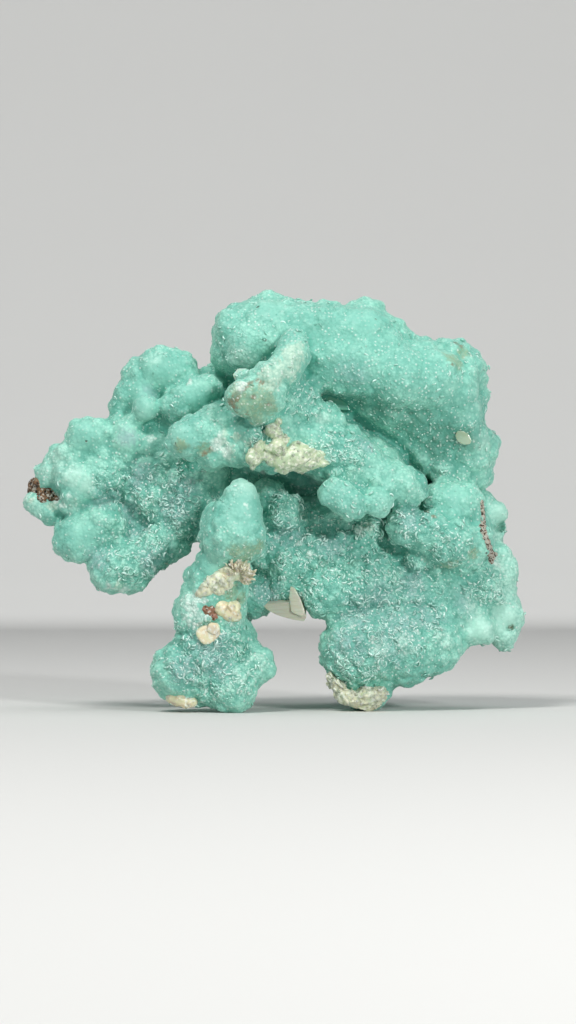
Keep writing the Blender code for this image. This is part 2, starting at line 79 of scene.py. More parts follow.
# Lobes of the mass, region by region
CORE = [
    roll((-4.0, 1.5, 26.0), (16.0, 1.5, 22.0), 6.0, 6.6),
    roll((-6.0, 2.0, 36.0), (14.0, 2.5, 34.0), 6.4, 6.6),
    roll((0.0, 2.0, 46.0), (17.0, 2.5, 46.0), 6.0, 6.5),
    roll((-19.0, 0.5, 34.0), (-8.0, 1.5, 32.0), 4.4, 6.0),
]
UPPER_MASS = [
    bead(-3.0, -3.5, 51.4, 5.5),
    bead(-0.5, -3.0, 55.9, 2.5),
    bead(-5.8, -3.5, 49.6, 2.9),
    bead(-3.2, -7.0, 50.6, 3.6),
    bead(-0.6, -8.4, 51.0, 2.4),
    bead(-5.5, -6.0, 53.0, 2.6),
    bead(1.4, -5.5, 54.4, 2.4),
    roll((2.0, -3.0, 51.5), (13.0, -3.5, 50.3), 5.3, 5.6),
    bead(3.4, -3.0, 55.3, 1.9),
    bead(7.8, -3.0, 54.9, 2.1),
    bead(12.9, -3.0, 54.3, 3.0),
    bead(15.4, -3.0, 50.6, 4.4),
    bead(6.0, -6.8, 52.6, 2.6),
    bead(10.6, -7.6, 51.6, 2.8),
    bead(15.6, -7.6, 50.0, 2.8),
    bead(20.4, -6.6, 48.8, 2.4),
    bead(21.8, -3.0, 48.6, 2.9),
    bead(24.8, -2.5, 46.6, 5.0),
    bead(26.6, -5.0, 47.2, 2.4),
    bead(27.2, -2.0, 43.9, 3.0),
    bead(26.8, -1.0, 40.5, 2.9),
    bead(28.8, -0.5, 36.4, 3.0),
    bead(28.7, 0.0, 32.9, 2.3),
    roll((4.5, -6.5, 49.6), (9.6, -7.4, 48.8), 3.8, 4.0),
    bead(8.4, -9.6, 48.8, 2.6),
    bead(12.8, -8.4, 47.6, 4.0),
    bead(17.6, -8.6, 46.1, 4.3),
    bead(22.4, -7.2, 45.8, 4.2),
    bead(25.2, -6.0, 44.6, 3.4),
]
UNDER_UPPER_MASS = [
    roll((9.0, 4.0, 42.5), (23.0, 2.5, 39.5), 5.0, 6.0),
    roll((21.0, 0.5, 36.0), (27.0, 0.5, 34.5), 3.6, 3.6),
    bead(21.2, -2.2, 35.2, 2.0),
    bead(25.6, -2.5, 33.8, 2.3),
    bead(17.2, -0.5, 37.6, 2.3),
    bead(13.8, -1.0, 38.0, 2.2),
    roll((20.5, -3.6, 40.0), (25.5, -3.0, 39.0), 2.6, 2.8),
    bead(11.4, -3.6, 39.8, 2.0),
    bead(14.2, -3.6, 38.1, 2.1),
    bead(17.4, -3.4, 36.3, 2.2),
    bead(20.6, -3.2, 34.8, 2.2),
    bead(23.8, -3.0, 33.2, 2.0),
]
FINGER = [
    roll((3.0, -11.4, 51.0), (2.8, -12.9, 49.0), 1.8, 2.5),
    roll((2.7, -13.2, 48.6), (1.5, -14.2, 46.9), 2.5, 2.4),
    bead(-0.6, -15.3, 45.6, 2.4),
    roll((-0.8, -15.3, 43.3), (-4.0, -16.1, 43.0), 2.7, 2.5),
    bead(-1.6, -14.6, 41.7, 2.4),
    roll((-3.9, -12.4, 45.6), (-2.0, -12.9, 44.5), 1.2, 2.0),
    roll((1.5, -11.5, 45.0), (3.5, -10.5, 42.0), 2.6, 3.2),
    roll((2.5, -7.0, 49.0), (1.0, -9.0, 44.0), 3.0, 3.4),
    bead(5.0, -8.5, 44.7, 2.0),
]
RIDGE = [
    bead(5.3, -9.5, 39.9, 3.0),
    bead(7.6, -9.0, 40.2, 2.3),
    bead(10.6, -8.5, 37.4, 2.1),
    roll((4.0, -9.5, 37.5), (12.0, -9.5, 33.8), 4.0, 3.6),
    roll((12.0, -9.5, 32.8), (18.2, -9.2, 30.9), 3.5, 2.9),
    bead(18.8, -9.0, 30.9, 2.7),
    roll((8.3, -13.2, 30.0), (10.8, -13.2, 28.4), 2.1, 2.1),
    bead(14.6, -12.8, 28.6, 1.9),
    roll((1.0, -11.0, 41.0), (0.5, -11.5, 36.5), 3.0, 3.6),
    bead(-2.5, -11.5, 37.5, 3.4),
    bead(-1.8, -12.5, 35.5, 2.4),
    roll((4.0, -5.0, 38.0), (14.0, -5.0, 33.0), 4.6, 4.4),
]
SIDE_FINGER = [
    roll((-7.2, -10.5, 38.5), (-11.9, -11.5, 37.5), 3.2, 2.7),
    bead(-7.8, -10.5, 40.2, 2.3),
    bead(-8.2, -10.5, 35.8, 2.6),
    bead(-5.0, -11.0, 36.0, 2.6),
    bead(-4.5, -10.0, 40.0, 2.6),
    roll((-7.0, -4.0, 38.5), (-5.0, -7.0, 38.5), 4.2, 3.6),
]
UPPER_LEFT = [
    roll((-17.0, 1.0, 43.5), (-9.0, 1.0, 42.5), 4.2, 4.6),
    bead(-18.8, -1.5, 46.8, 2.2),
    roll((-15.8, -2.0, 47.2), (-13.6, -2.0, 46.8), 3.3, 3.2),
    bead(-20.0, -2.0, 43.9, 2.1),
    bead(-18.2, -2.5, 44.6, 2.2),
    bead(-21.0, -1.5, 42.0, 2.0),
    bead(-17.7, -5.2, 41.8, 1.9),
    roll((-13.2, -5.2, 42.3), (-9.3, -4.8, 44.5), 2.0, 2.2),
    bead(-13.5, -2.5, 40.5, 2.2),
    roll((-8.6, 0.8, 44.0), (-5.4, 1.0, 46.0), 3.4, 3.6),
]
LEFT_WING = [
    roll((-29.0, 1.0, 32.0), (-20.0, 0.5, 34.5), 3.6, 5.0),
    roll((-26.2, -3.0, 38.1), (-24.2, -3.2, 38.3), 2.5, 2.3),
    roll((-20.4, -4.0, 38.5), (-20.2, -4.0, 37.2), 2.2, 2.2),
    bead(-29.4, -2.0, 34.8, 2.1),
    bead(-27.6, -2.5, 35.6, 2.3),
    roll((-27.9, -3.6, 32.2), (-26.6, -3.8, 32.0), 2.2, 2.3),
    roll((-27.2, -3.4, 30.3), (-23.6, -3.4, 32.6), 2.2, 2.6),
    roll((-28.7, -3.2, 28.4), (-27.6, -3.2, 28.8), 1.1, 1.2),
    bead(-31.4, -1.5, 32.6, 1.9),
    roll((-33.4, -0.8, 28.8), (-31.2, -1.0, 27.4), 1.5, 1.7),
    roll((-31.5, 0.8, 30.5), (-28.0, 0.8, 31.0), 2.2, 3.0),
    bead(-23.5, -2.8, 35.4, 2.4),
    bead(-21.5, -3.0, 34.2, 2.2),
    roll((-30.4, 0.6, 28.8), (-27.6, 0.6, 27.4), 1.9, 2.6),
]
LOWER_LEFT = [
    roll((-27.2, -3.5, 23.6), (-23.2, -3.8, 25.8), 3.3, 3.0),
    roll((-22.3, -4.5, 19.4), (-14.2, -4.0, 23.2), 3.3, 2.7),
    bead(-19.5, -4.0, 18.8, 2.7),
    roll((-24.0, 1.5, 24.5), (-16.0, 1.5, 27.0), 4.0, 4.6),
]
LEFT_SLOPE = [
    bead(-17.2, -3.2, 33.0, 2.8),
    bead(-14.0, -3.5, 35.6, 2.4),
    bead(-16.4, -3.5, 36.8, 2.2),
    bead(-13.2, -3.6, 31.6, 2.6),
    bead(-10.8, -4.2, 31.0, 2.2),
    bead(-11.2, -5.0, 28.2, 2.4),
    bead(-9.6, -4.5, 28.4, 1.8),
    bead(-16.8, -3.4, 29.6, 2.6),
    bead(-12.6, -4.6, 26.4, 2.2),
    bead(-18.6, -2.8, 30.8, 2.4),
    bead(-15.2, -2.4, 27.0, 2.6),
    bead(-8.0, -5.5, 33.0, 1.8),
    bead(-20.6, -2.2, 32.8, 2.4),
]
LEG = [
    roll((-4.2, -15.5, 29.0), (-5.4, -14.8, 24.4), 2.5, 4.4),
    bead(-4.1, -15.6, 29.9, 2.0),
    bead(-7.4, -14.0, 26.2, 2.4),
    bead(-2.9, -14.6, 22.9, 2.2),
    roll((-6.5, -13.0, 21.0), (-8.2, -11.5, 14.5), 3.4, 4.7),
    bead(-9.4, -12.0, 13.4, 4.2),
    bead(-10.0, -11.0, 18.3, 2.0),
    roll((-6.0, -10.0, 24.0), (-4.5, -2.0, 25.0), 3.8, 5.0),
]
LEFT_FOOT = [
    bead(-12.4, -11.5, 5.4, 4.3),
    bead(-5.6, -13.0, 3.3, 3.6),
    bead(-2.3, -11.5, 6.3, 2.7),
    roll((-9.0, -11.0, 7.0), (-8.2, -11.0, 10.5), 5.0, 5.0),
    bead(-9.5, -12.0, 3.6, 2.9),
    bead(-6.0, -10.0, 9.5, 4.0),
]
ARCH_ROOF = [
    bead(-2.6, -6.0, 15.6, 2.9),
    bead(1.8, -6.0, 17.4, 3.0),
    bead(7.6, -7.5, 16.2, 3.6),
    bead(11.2, -7.0, 17.5, 3.6),
    bead(2.2, -7.5, 20.0, 2.6),
    bead(6.2, -7.0, 21.4, 2.6),
    bead(14.0, -6.5, 19.5, 3.0),
    bead(9.5, -5.5, 22.5, 2.6),
    bead(1.8, -7.5, 27.3, 2.6),
    bead(-0.5, -6.5, 30.0, 2.0),
    bead(4.5, -5.5, 24.5, 2.4),
    bead(13.4, -6.5, 25.2, 1.8),
    roll((-2.0, -1.0, 19.0), (12.0, -1.5, 19.0), 4.6, 5.0),
]
RIGHT_WING = [
    bead(18.4, -8.5, 25.4, 2.7),
    bead(21.4, -8.6, 24.8, 2.8),
    bead(24.6, -7.6, 23.4, 3.4),
    bead(28.0, -5.4, 23.4, 2.8),
    bead(26.6, -6.2, 21.8, 2.6),
    roll((24.0, -4.8, 28.7), (25.9, -4.3, 28.4), 3.2, 3.5),
    bead(22.3, -5.0, 27.3, 1.6),
    roll((22.0, -2.0, 26.0), (27.0, -1.0, 25.0), 4.5, 3.8),
    bead(29.9, -0.6, 28.6, 1.4),
    roll((30.6, -0.5, 27.6), (31.8, -0.5, 27.1), 1.5, 1.2),
    roll((30.6, -0.3, 24.6), (31.6, -0.3, 24.6), 1.4, 1.1),
    roll((30.4, 0.6, 27.0), (30.2, 0.6, 21.0), 1.4, 2.2),
]
RIGHT_EDGE = [
    bead(31.8, -1.5, 19.0, 2.7),
    bead(31.5, -1.5, 21.0, 2.0),
    bead(32.4, -1.5, 12.9, 2.8),
    bead(31.8, -1.5, 15.6, 2.4),
    bead(32.2, -2.0, 10.4, 2.1),
    bead(28.9, -5.0, 11.0, 2.1),
    bead(25.6, -4.0, 10.8, 2.8),
]
RIGHT_VALLEY = [
    bead(18.3, -5.5, 16.0, 2.0),
    bead(23.0, -4.5, 16.5, 2.6),
    bead(26.6, -4.2, 16.4, 2.3),
    bead(29.4, -3.4, 16.6, 2.6),
    bead(22.0, -4.5, 12.6, 3.0),
    bead(26.0, -3.5, 13.6, 2.6),
    bead(16.0, -6.0, 14.2, 2.6),
    bead(20.5, -3.5, 18.8, 2.2),
    roll((14.0, 1.0, 14.5), (27.0, 1.0, 16.0), 5.4, 5.0),
    roll((24.0, 0.0, 19.0), (29.0, 0.0, 17.0), 3.6, 3.4),
]
RIGHT_FOOT = [
    bead(12.0, -7.5, 8.4, 5.4),
    roll((12.0, -6.0, 8.2), (18.0, -6.0, 8.6), 5.2, 5.2),
    roll((19.0, -6.0, 8.8), (22.6, -5.5, 8.9), 4.8, 3.8),
    bead(12.8, -6.0, 3.6, 3.9),
]
BACK_UPPER = [
    roll((-2.0, 3.5, 50.5), (12.0, 4.0, 49.5), 5.0, 5.4),
    bead(-2.6, 5.5, 52.4, 3.4),
    bead(3.4, 6.4, 52.8, 3.4),
    bead(9.4, 7.0, 52.0, 3.8),
    bead(15.2, 6.0, 50.2, 4.0),
    bead(20.6, 3.5, 47.4, 4.6),
    bead(25.5, 3.0, 43.0, 4.0),
    bead(5.0, 8.6, 47.6, 4.0),
    bead(12.0, 9.4, 45.6, 4.6),
    bead(19.0, 7.4, 41.8, 4.4),
    bead(-2.6, 8.2, 46.4, 3.4),
]
BACK_MIDDLE = [
    bead(-14.0, 5.0, 42.0, 4.0),
    bead(-20.0, 3.5, 38.0, 4.0),
    bead(-25.4, 2.4, 36.0, 3.0),
    bead(-7.0, 7.0, 41.0, 4.2),
    bead(-4.6, 8.6, 35.6, 4.6),
    bead(2.2, 10.2, 38.0, 4.4),
    bead(8.6, 9.2, 35.4, 5.0),
    bead(3.0, 10.4, 32.4, 3.8),
    bead(15.4, 8.4, 34.6, 4.6),
    bead(-12.6, 6.2, 34.6, 4.5),
    bead(-24.5, 3.0, 30.6, 3.8),
    bead(-18.6, 5.8, 31.4, 3.4),
    bead(22.6, 5.0, 35.0, 4.2),
    bead(26.0, 2.4, 30.6, 3.4),
]
BACK_LOWER = [
    roll((-22.0, 4.0, 25.0), (-16.5, 4.6, 26.4), 3.6, 3.8),
    bead(-5.4, 8.0, 28.6, 4.6),
    bead(3.6, 9.0, 26.0, 4.8),
    bead(11.4, 8.4, 26.6, 4.8),
    bead(19.4, 6.4, 27.0, 4.6),
    bead(26.0, 3.6, 23.6, 4.2),
    bead(27.8, 2.6, 16.6, 3.8),
    bead(22.0, 5.2, 18.2, 4.4),
    bead(24.8, 3.4, 11.6, 3.4),
    bead(18.0, 4.6, 11.6, 4.2),
]
REAR_FEET = [
    roll((12.0, 7.0, 21.0), (13.6, 10.6, 12.8), 6.0, 4.4),
    roll((13.6, 11.0, 12.4), (13.2, 14.2, 6.4), 4.4, 4.2),
    bead(13.2, 15.2, 3.6, 3.9),
    bead(11.4, 13.0, 8.0, 3.4),
    bead(15.8, 14.2, 9.2, 3.2),
    bead(13.2, 15.2, 12.8, 3.0),
    bead(9.8, 12.4, 16.4, 3.4),
    bead(16.4, 11.8, 17.4, 3.6),
    bead(13.0, 12.8, 21.4, 3.4),
    roll((-3.5, 7.5, 25.0), (-5.8, 10.2, 17.6), 5.0, 4.0),
    roll((-6.0, 10.8, 17.0), (-8.6, 14.0, 8.4), 4.0, 4.2),
    bead(-9.2, 15.4, 3.5, 3.8),
    bead(-6.0, 14.6, 4.8, 3.0),
    bead(-11.0, 13.6, 8.0, 2.9),
    bead(-8.4, 15.8, 11.2, 2.9),
    bead(-4.2, 12.6, 19.2, 3.2),
    bead(-6.8, 12.8, 15.2, 3.4),
]
# Broad fills behind the lobes, so that they read as one grown mass
FILLS = [
    roll((13.8, -5.0, 43.8), (16.2, -5.2, 42.2), 2.8, 3.3),
    roll((16.5, -4.6, 42.0), (26.0, -4.2, 41.0), 3.2, 3.3),
    roll((18.5, -3.0, 39.5), (27.0, -2.6, 37.6), 3.0, 3.2),
    roll((22.5, -2.0, 36.2), (27.5, -1.6, 35.0), 2.8, 3.0),
    roll((23.8, -2.0, 33.4), (28.0, -1.2, 32.8), 2.2, 2.2),
    roll((0.0, -5.2, 22.0), (12.0, -5.0, 21.6), 3.4, 3.4),
    roll((1.0, -3.8, 26.0), (9.5, -3.8, 26.4), 3.2, 3.4),
    roll((12.5, -3.6, 23.6), (18.6, -3.2, 20.6), 3.0, 3.0),
    roll((20.6, -6.2, 21.4), (28.4, -3.6, 19.2), 2.2, 2.2),
    roll((15.0, -5.2, 17.0), (25.0, -3.6, 16.2), 3.2, 3.2),
    roll((16.5, -5.2, 12.4), (27.5, -3.2, 13.2), 3.8, 3.0),
    roll((28.0, -1.8, 18.8), (30.2, -0.8, 13.6), 2.4, 2.2),
    roll((26.8, -1.8, 24.6), (30.6, -0.6, 19.8), 2.6, 2.0),
    roll((-19.0, -0.8, 31.4), (-9.0, -2.8, 30.4), 3.6, 3.4),
    roll((-18.0, -0.8, 27.6), (-11.0, -2.4, 26.2), 2.8, 3.0),
    roll((-29.5, 0.2, 32.6), (-21.0, -0.2, 35.8), 2.8, 3.6),
    roll((-27.8, 0.2, 27.6), (-20.0, -0.2, 29.6), 2.6, 3.2),
    roll((-20.0, -0.2, 40.4), (-13.6, -0.8, 39.2), 2.6, 3.0),
    roll((-15.6, -1.0, 44.6), (-10.4, -1.4, 42.6), 2.6, 2.6),
    roll((5.0, -3.4, 43.8), (13.0, -3.0, 41.8), 3.2, 3.0),
    bead(6.0, -4.2, 44.9, 2.3),
    roll((-0.6, -5.4, 52.2), (12.6, -5.8, 51.2), 4.6, 4.6),
    roll((12.6, -6.4, 47.8), (24.0, -5.4, 44.4), 3.9, 3.8),
    roll((8.0, -7.4, 48.2), (21.6, -7.2, 45.6), 4.2, 4.2),
    roll((-4.0, -5.4, 51.2), (1.0, -5.6, 51.4), 3.2, 3.2),
]
MASS = (
    CORE + UPPER_MASS + UNDER_UPPER_MASS + FINGER + RIDGE + SIDE_FINGER + UPPER_LEFT + LEFT_WING
    + LOWER_LEFT + LEFT_SLOPE + LEG + LEFT_FOOT + ARCH_ROOF + RIGHT_WING + RIGHT_EDGE
    + RIGHT_VALLEY + RIGHT_FOOT + BACK_UPPER + BACK_MIDDLE + BACK_LOWER + REAR_FEET
    + FILLS
)

# Lumps of the calcite that grew on the mass
CRUST_CENTRE_LUMPS = [
    bead(0.1, -14.9, 38.6, 1.15),
    bead(0.9, -15.2, 39.8, 0.55),
    bead(0.9, -15.4, 37.9, 0.75),
    bead(0.8, -15.2, 36.4, 1.25),
    bead(1.8, -15.0, 37.3, 0.6),
    bead(-1.7, -14.9, 36.1, 1.0),
    bead(-2.5, -14.9, 34.8, 1.25),
    bead(-1.0, -15.1, 35.2, 0.8),
    bead(-0.1, -14.4, 34.7, 1.1),
    roll((1.3, -14.6, 34.3), (3.4, -14.4, 34.9), 1.3, 1.75),
    roll((3.4, -14.2, 34.9), (6.2, -13.1, 34.9), 1.7, 0.9),
    roll((5.4, -13.5, 34.6), (7.2, -12.7, 34.4), 0.95, 0.3),
]
CLUSTER_LEG_LUMPS = [
    bead(-7.0, -15.9, 18.3, 1.4),
    bead(-7.9, -15.8, 17.6, 1.3),
    bead(-6.2, -16.0, 18.8, 1.3),
    bead(-8.8, -15.6, 16.9, 1.25),
    bead(-9.6, -15.1, 16.4, 1.1),
    bead(-7.3, -15.6, 16.9, 1.1),
    bead(-6.2, -15.8, 17.6, 1.0),
    roll((-5.6, -16.1, 19.2), (-3.8, -15.8, 19.5), 1.2, 1.0),
    bead(-4.8, -16.0, 20.0, 0.9),
]
PATCH_LEG_LUMPS = [
    bead(-6.8, -15.5, 14.3, 1.25),
    bead(-5.8, -15.3, 13.7, 1.3),
    bead(-5.2, -15.0, 14.5, 1.0),
    bead(-5.0, -15.0, 13.3, 0.9),
]
LEFT_FOOT_LUMPS = [
    roll((-13.7, -13.4, 2.0), (-12.0, -13.9, 1.5), 0.9, 0.85),
    roll((-12.0, -13.9, 1.6), (-10.9, -13.9, 1.4), 0.85, 0.75),
]
TUFT_LUMPS = [
    roll((8.0, -9.4, 4.8), (9.6, -9.9, 2.4), 0.6, 0.9),
    roll((9.8, -10.0, 2.0), (11.6, -10.2, 1.6), 1.1, 1.2),
    roll((11.6, -10.2, 1.7), (13.8, -10.0, 1.9), 1.2, 1.25),
    roll((13.8, -9.9, 2.1), (15.0, -9.5, 2.5), 1.2, 0.9),
]
# Slivers that stand like bristles: place of the root, way they point, and how many
FAN_BRISTLES = [
    ((-5.5, -16.9, 19.3), (-0.7, -0.5, 0.7), 50),
    ((-4.8, -16.9, 19.6), (0.0, -0.5, 1.0), 60),
    ((-4.1, -16.7, 19.5), (0.7, -0.4, 0.8), 70),
    ((-3.7, -16.6, 19.1), (1.0, -0.4, 0.1), 60),
    ((-3.9, -16.6, 18.6), (0.9, -0.4, -0.5), 30),
]
TUFT_BRISTLES = [
    ((7.9, -9.7, 5.0), (0.45, -0.15, -0.85), 9),
    ((8.6, -10.0, 4.0), (0.45, -0.15, -0.9), 10),
    ((9.4, -10.4, 3.0), (0.5, -0.15, -0.8), 10),
    ((14.4, -10.2, 2.2), (0.8, -0.2, 0.4), 6),
]
# How tall the back of a plate is beside its front
BACK_OF_SLAB = 0.8
# Outlines of the blades and plates as seen: across and up
LEAF_OUTLINE = [
    (-1.5, 14.7), (0.8, 14.9), (2.6, 15.0), (4.3, 14.4), (4.7, 12.9), (4.4, 12.3), (2.6, 12.6),
    (0.6, 13.2), (-0.7, 13.9),
]
SPIKE_OUTLINE = [
    (2.6, 13.6), (2.3, 15.6), (2.5, 17.2), (3.1, 17.0), (3.9, 15.4), (4.5, 13.6), (4.2, 12.9),
]
SPIKE_MIDDLE = (3.2, 15.6)
PLATE_OUTLINE = [
    (25.3, 38.0), (25.6, 38.7), (26.4, 38.7), (27.2, 38.2), (27.6, 37.4), (27.4, 36.8),
    (26.5, 36.7), (25.6, 37.2),
]
CLEAVAGE_OUTLINE = [(6.9, 45.1), (9.2, 44.2), (10.0, 43.0), (10.9, 41.5), (8.9, 41.6), (6.7, 43.3)]
TOOTH_OUTLINE = [(-10.5, 10.9), (-9.6, 11.9), (-7.4, 12.0), (-6.9, 10.7), (-8.4, 9.3), (-9.6, 9.3)]
TOOTH_STEP_OUTLINE = [(-9.0, 11.2), (-8.6, 12.4), (-7.3, 12.3), (-7.0, 11.2), (-7.9, 10.5)]
# Small pale crystal that looks out from behind the finger
FINGER_CRYSTAL_OUTLINE = [
    (-5.4, 46.2), (-4.7, 47.1), (-3.5, 47.1), (-2.7, 46.3), (-3.4, 45.2), (-5.0, 45.3),
]

# Marks seen from the front, region by region: place in the picture (across, up) and radius, in millimetres
MARKS = {
    # Partly the skin's own milky paleness, partly painted light: some of these lighten lobes that fall in
    # shade at the right edge, the right foot and beside the finger
    "pale": [
        (-4.0, 31.2, 1.8), (-30.0, 34.8, 2.0), (-28.0, 32.8, 1.6), (-26.0, 31.2, 1.3),
        (-31.6, 33.0, 1.4),
        (-32.9, 28.2, 1.5), (-34.2, 29.0, 1.0), (31.8, 27.4, 2.0), (32.4, 25.6, 2.0),
        (31.6, 24.0, 1.4),
        (33.2, 13.4, 3.2), (32.6, 10.2, 3.0), (32.4, 16.6, 2.6), (32.8, 19.6, 2.2),
        (29.0, 11.0, 2.4), (29.6, 37.0, 1.4),
        (28.6, 43.4, 1.6), (-5.0, 49.2, 1.3), (-4.8, 27.4, 1.6), (15.4, 8.0, 1.4), (10.0, 6.4, 1.2),
        (6.6, 35.6, 1.4),
        (-16.4, 48.6, 1.2), (9.0, 29.6, 1.4), (-3.4, 48.6, 1.6), (-2.2, 6.6, 1.5), (-5.2, 3.6, 1.6),
        (-28.4, 28.6, 1.2), (7.2, 40.4, 1.2), (18.4, 9.0, 1.6), (24.0, 9.6, 1.4), (13.4, 25.2, 0.9),
        (28.0, 14.6, 1.4),
    ],
    "shade": [
        (16.0, 41.4, 2.6), (20.0, 40.0, 3.0), (24.2, 39.0, 2.8), (12.6, 43.0, 1.6),
        (27.0, 37.4, 2.0), (22.6, 36.6, 2.0), (31.9, 25.2, 0.8),
    ],
    "cool": [
        (12.6, 52.4, 5.4), (18.2, 49.4, 4.4), (22.4, 47.0, 3.4), (7.0, 53.6, 3.4), (9.2, 29.4, 2.2),
        (-4.6, 27.6, 2.6),
        (-15.8, 46.8, 2.4), (-11.4, 43.4, 1.8), (-26.0, 37.8, 2.2), (24.8, 28.8, 2.4),
        (24.0, 15.6, 2.6), (6.0, 17.0, 3.0),
        (-25.4, 24.4, 1.8), (26.4, 43.0, 2.6),
    ],
    "milk": [
        (3.2, 50.0, 1.4), (2.7, 48.8, 1.9), (1.9, 47.6, 1.9), (0.6, 46.6, 1.7), (-0.8, 45.8, 1.5),
        (0.2, 45.0, 0.9),
        (-4.6, 44.6, 0.7), (-4.0, 45.3, 0.6), (-7.4, 37.2, 0.9), (-6.2, 35.9, 1.1),
        (-6.8, 38.4, 0.7), (-5.0, 37.8, 0.7),
        (-3.4, 37.0, 0.8), (13.5, 25.1, 0.7),
        (30.6, 20.8, 0.7), (-31.0, 28.2, 0.8), (-21.6, 17.2, 0.8), (-33.9, 29.2, 0.5),
    ],
    "olive": [
        (-2.4, 42.4, 2.7), (-4.2, 43.0, 1.9), (-0.8, 43.2, 1.5), (-2.4, 40.8, 1.4),
        (0.2, 41.8, 0.9), (25.4, 48.8, 1.3), (26.8, 49.6, 0.9),
        (-3.4, 21.6, 1.6), (-1.9, 22.6, 1.1), (-5.2, 22.0, 1.0), (24.6, 19.8, 1.2),
        (-12.9, 36.6, 0.9),
        (-9.6, 36.2, 1.0), (-5.6, 16.4, 1.3), (-4.2, 15.4, 0.9), (28.0, 21.6, 0.9),
    ],
    "ochre": [
        (-5.7, 42.7, 0.75),
        (-5.0, 43.3, 0.5), (-5.2, 41.8, 0.4), (-2.6, 43.6, 0.3), (-0.4, 42.6, 0.3),
        (-3.4, 41.2, 0.3),
        (25.6, 51.1, 0.45), (26.3, 50.7, 0.40), (-9.4, 35.6, 0.55), (-8.6, 36.3, 0.35),
        (21.6, 27.4, 0.55), (22.6, 26.9, 0.45), (33.4, 11.4, 0.40), (-4.8, 15.1, 0.35),
        (-14.8, 20.2, 0.35),
        (29.3, 26.4, 0.45), (29.6, 24.6, 0.45), (30.2, 22.8, 0.45), (25.2, 48.2, 0.30),
        (29.3, 28.0, 0.35),
    ],
    "frost": [
        (-17.1, 37.7, 0.6), (-11.6, 45.6, 0.5), (-11.4, 14.8, 1.3), (-11.1, 13.2, 1.2),
        (-10.2, 15.3, 0.9), (-11.6, 11.9, 1.0), (-9.6, 12.6, 0.9),
        (-5.6, 11.8, 0.45), (-4.4, 12.0, 0.40), (-3.8, 28.4, 0.35), (-5.6, 25.4, 0.35),
        (-7.6, 37.0, 0.9), (-6.4, 35.8, 0.9),
        (-7.4, 38.4, 0.6), (-30.2, 29.4, 0.8), (-29.4, 28.4, 0.5), (-33.5, 32.0, 0.5),
        (-34.6, 29.4, 0.4), (5.3, 21.4, 0.6),
        (3.6, 23.2, 0.5), (12.6, 12.7, 0.5), (18.9, 24.0, 0.4), (31.2, 20.4, 0.7),
        (-4.5, 44.9, 0.55), (-3.9, 45.5, 0.4),
        (12.2, 24.6, 0.9), (-16.6, 19.6, 0.45), (14.0, 9.4, 0.5), (11.2, 11.2, 0.5),
        (-1.2, 33.2, 0.5), (20.4, 10.6, 0.4),
        (14.6, 5.6, 0.4), (-23.0, 17.0, 0.7), (-21.0, 16.6, 0.7), (-3.4, 26.9, 0.3),
        (-28.6, 29.6, 0.4),
    ],
    "grey": [
        (-16.8, 20.6, 1.8), (-18.6, 24.4, 2.0), (-12.4, 31.0, 1.8), (-14.0, 28.0, 2.2),
        (-18.4, 32.2, 2.0), (12.4, 12.6, 2.8),
        (17.4, 11.4, 3.2), (15.0, 15.6, 2.4), (21.4, 13.4, 3.0), (19.6, 17.4, 2.2),
        (-0.6, 16.4, 2.0), (10.6, 9.2, 2.6),
        (16.0, 8.6, 2.4), (11.4, 47.0, 2.0), (8.4, 22.6, 2.2), (-9.0, 9.0, 2.6), (-12.4, 5.4, 2.2),
        (19.4, 26.6, 1.6),
        (-23.4, 29.4, 2.0), (4.6, 29.4, 2.2), (-24.6, 20.8, 1.8), (2.0, 24.0, 2.2),
        (26.4, 15.0, 1.8), (13.2, 37.0, 1.2),
        (-7.6, 5.8, 2.2), (-20.4, 27.4, 1.8), (-17.2, 44.2, 1.2), (-20.2, 38.0, 1.2),
    ],
    # Painted shade: saturated dark green laid in hollows, creases and beside the finger's column, where shade
    # falls
    "crease_shade": [
        (5.6, 48.4, 0.8), (5.0, 46.6, 0.8), (3.9, 45.2, 0.8), (8.6, 24.4, 1.8), (11.0, 23.2, 1.5),
        (17.6, 20.8, 1.6), (12.4, 27.0, 0.9),
        (8.4, 42.4, 1.6), (11.6, 40.2, 1.5), (14.4, 38.8, 1.3), (17.6, 36.6, 1.3),
        (20.4, 33.6, 1.3), (21.4, 30.8, 1.2),
        (0.8, 25.0, 1.8), (-0.2, 22.4, 1.2), (6.4, 27.6, 1.6), (17.4, 21.4, 1.6), (-1.2, 39.4, 0.8),
        (2.6, 32.0, 2.0),
        (-12.2, 33.6, 1.2), (-7.0, 8.6, 1.0), (23.6, 36.4, 1.8), (26.4, 33.8, 1.6),
        (-17.0, 39.0, 0.8), (-22.4, 27.2, 1.0),
        (20.0, 39.4, 2.0), (24.6, 39.6, 1.8), (15.0, 41.0, 1.4), (-1.8, 48.8, 0.8),
        (7.2, 25.4, 1.6), (-0.6, 29.2, 1.0),
        (-11.6, 40.4, 0.9), (-25.2, 28.6, 0.9), (12.8, 53.2, 1.2), (10.2, 52.0, 0.9),
    ],
    "pit": [
        (-2.0, 56.2, 0.26), (-1.3, 51.5, 0.24), (-0.9, 51.4, 0.16), (2.8, 47.5, 0.14),
        (14.4, 54.4, 0.24), (14.9, 54.0, 0.16),
        (13.9, 53.6, 0.14), (12.0, 46.3, 0.17), (-13.6, 37.1, 0.22), (-12.8, 36.8, 0.16),
        (-12.2, 36.5, 0.14),
        (-26.2, 37.4, 0.22), (-25.0, 38.0, 0.14), (-25.4, 36.1, 0.16), (-24.3, 38.0, 0.12),
        (27.8, 12.3, 0.17),
        (25.5, 51.2, 0.22), (26.1, 50.7, 0.20), (26.6, 50.9, 0.14), (30.0, 21.6, 0.18),
        (31.0, 20.8, 0.15), (32.9, 11.2, 0.22),
    ],
}
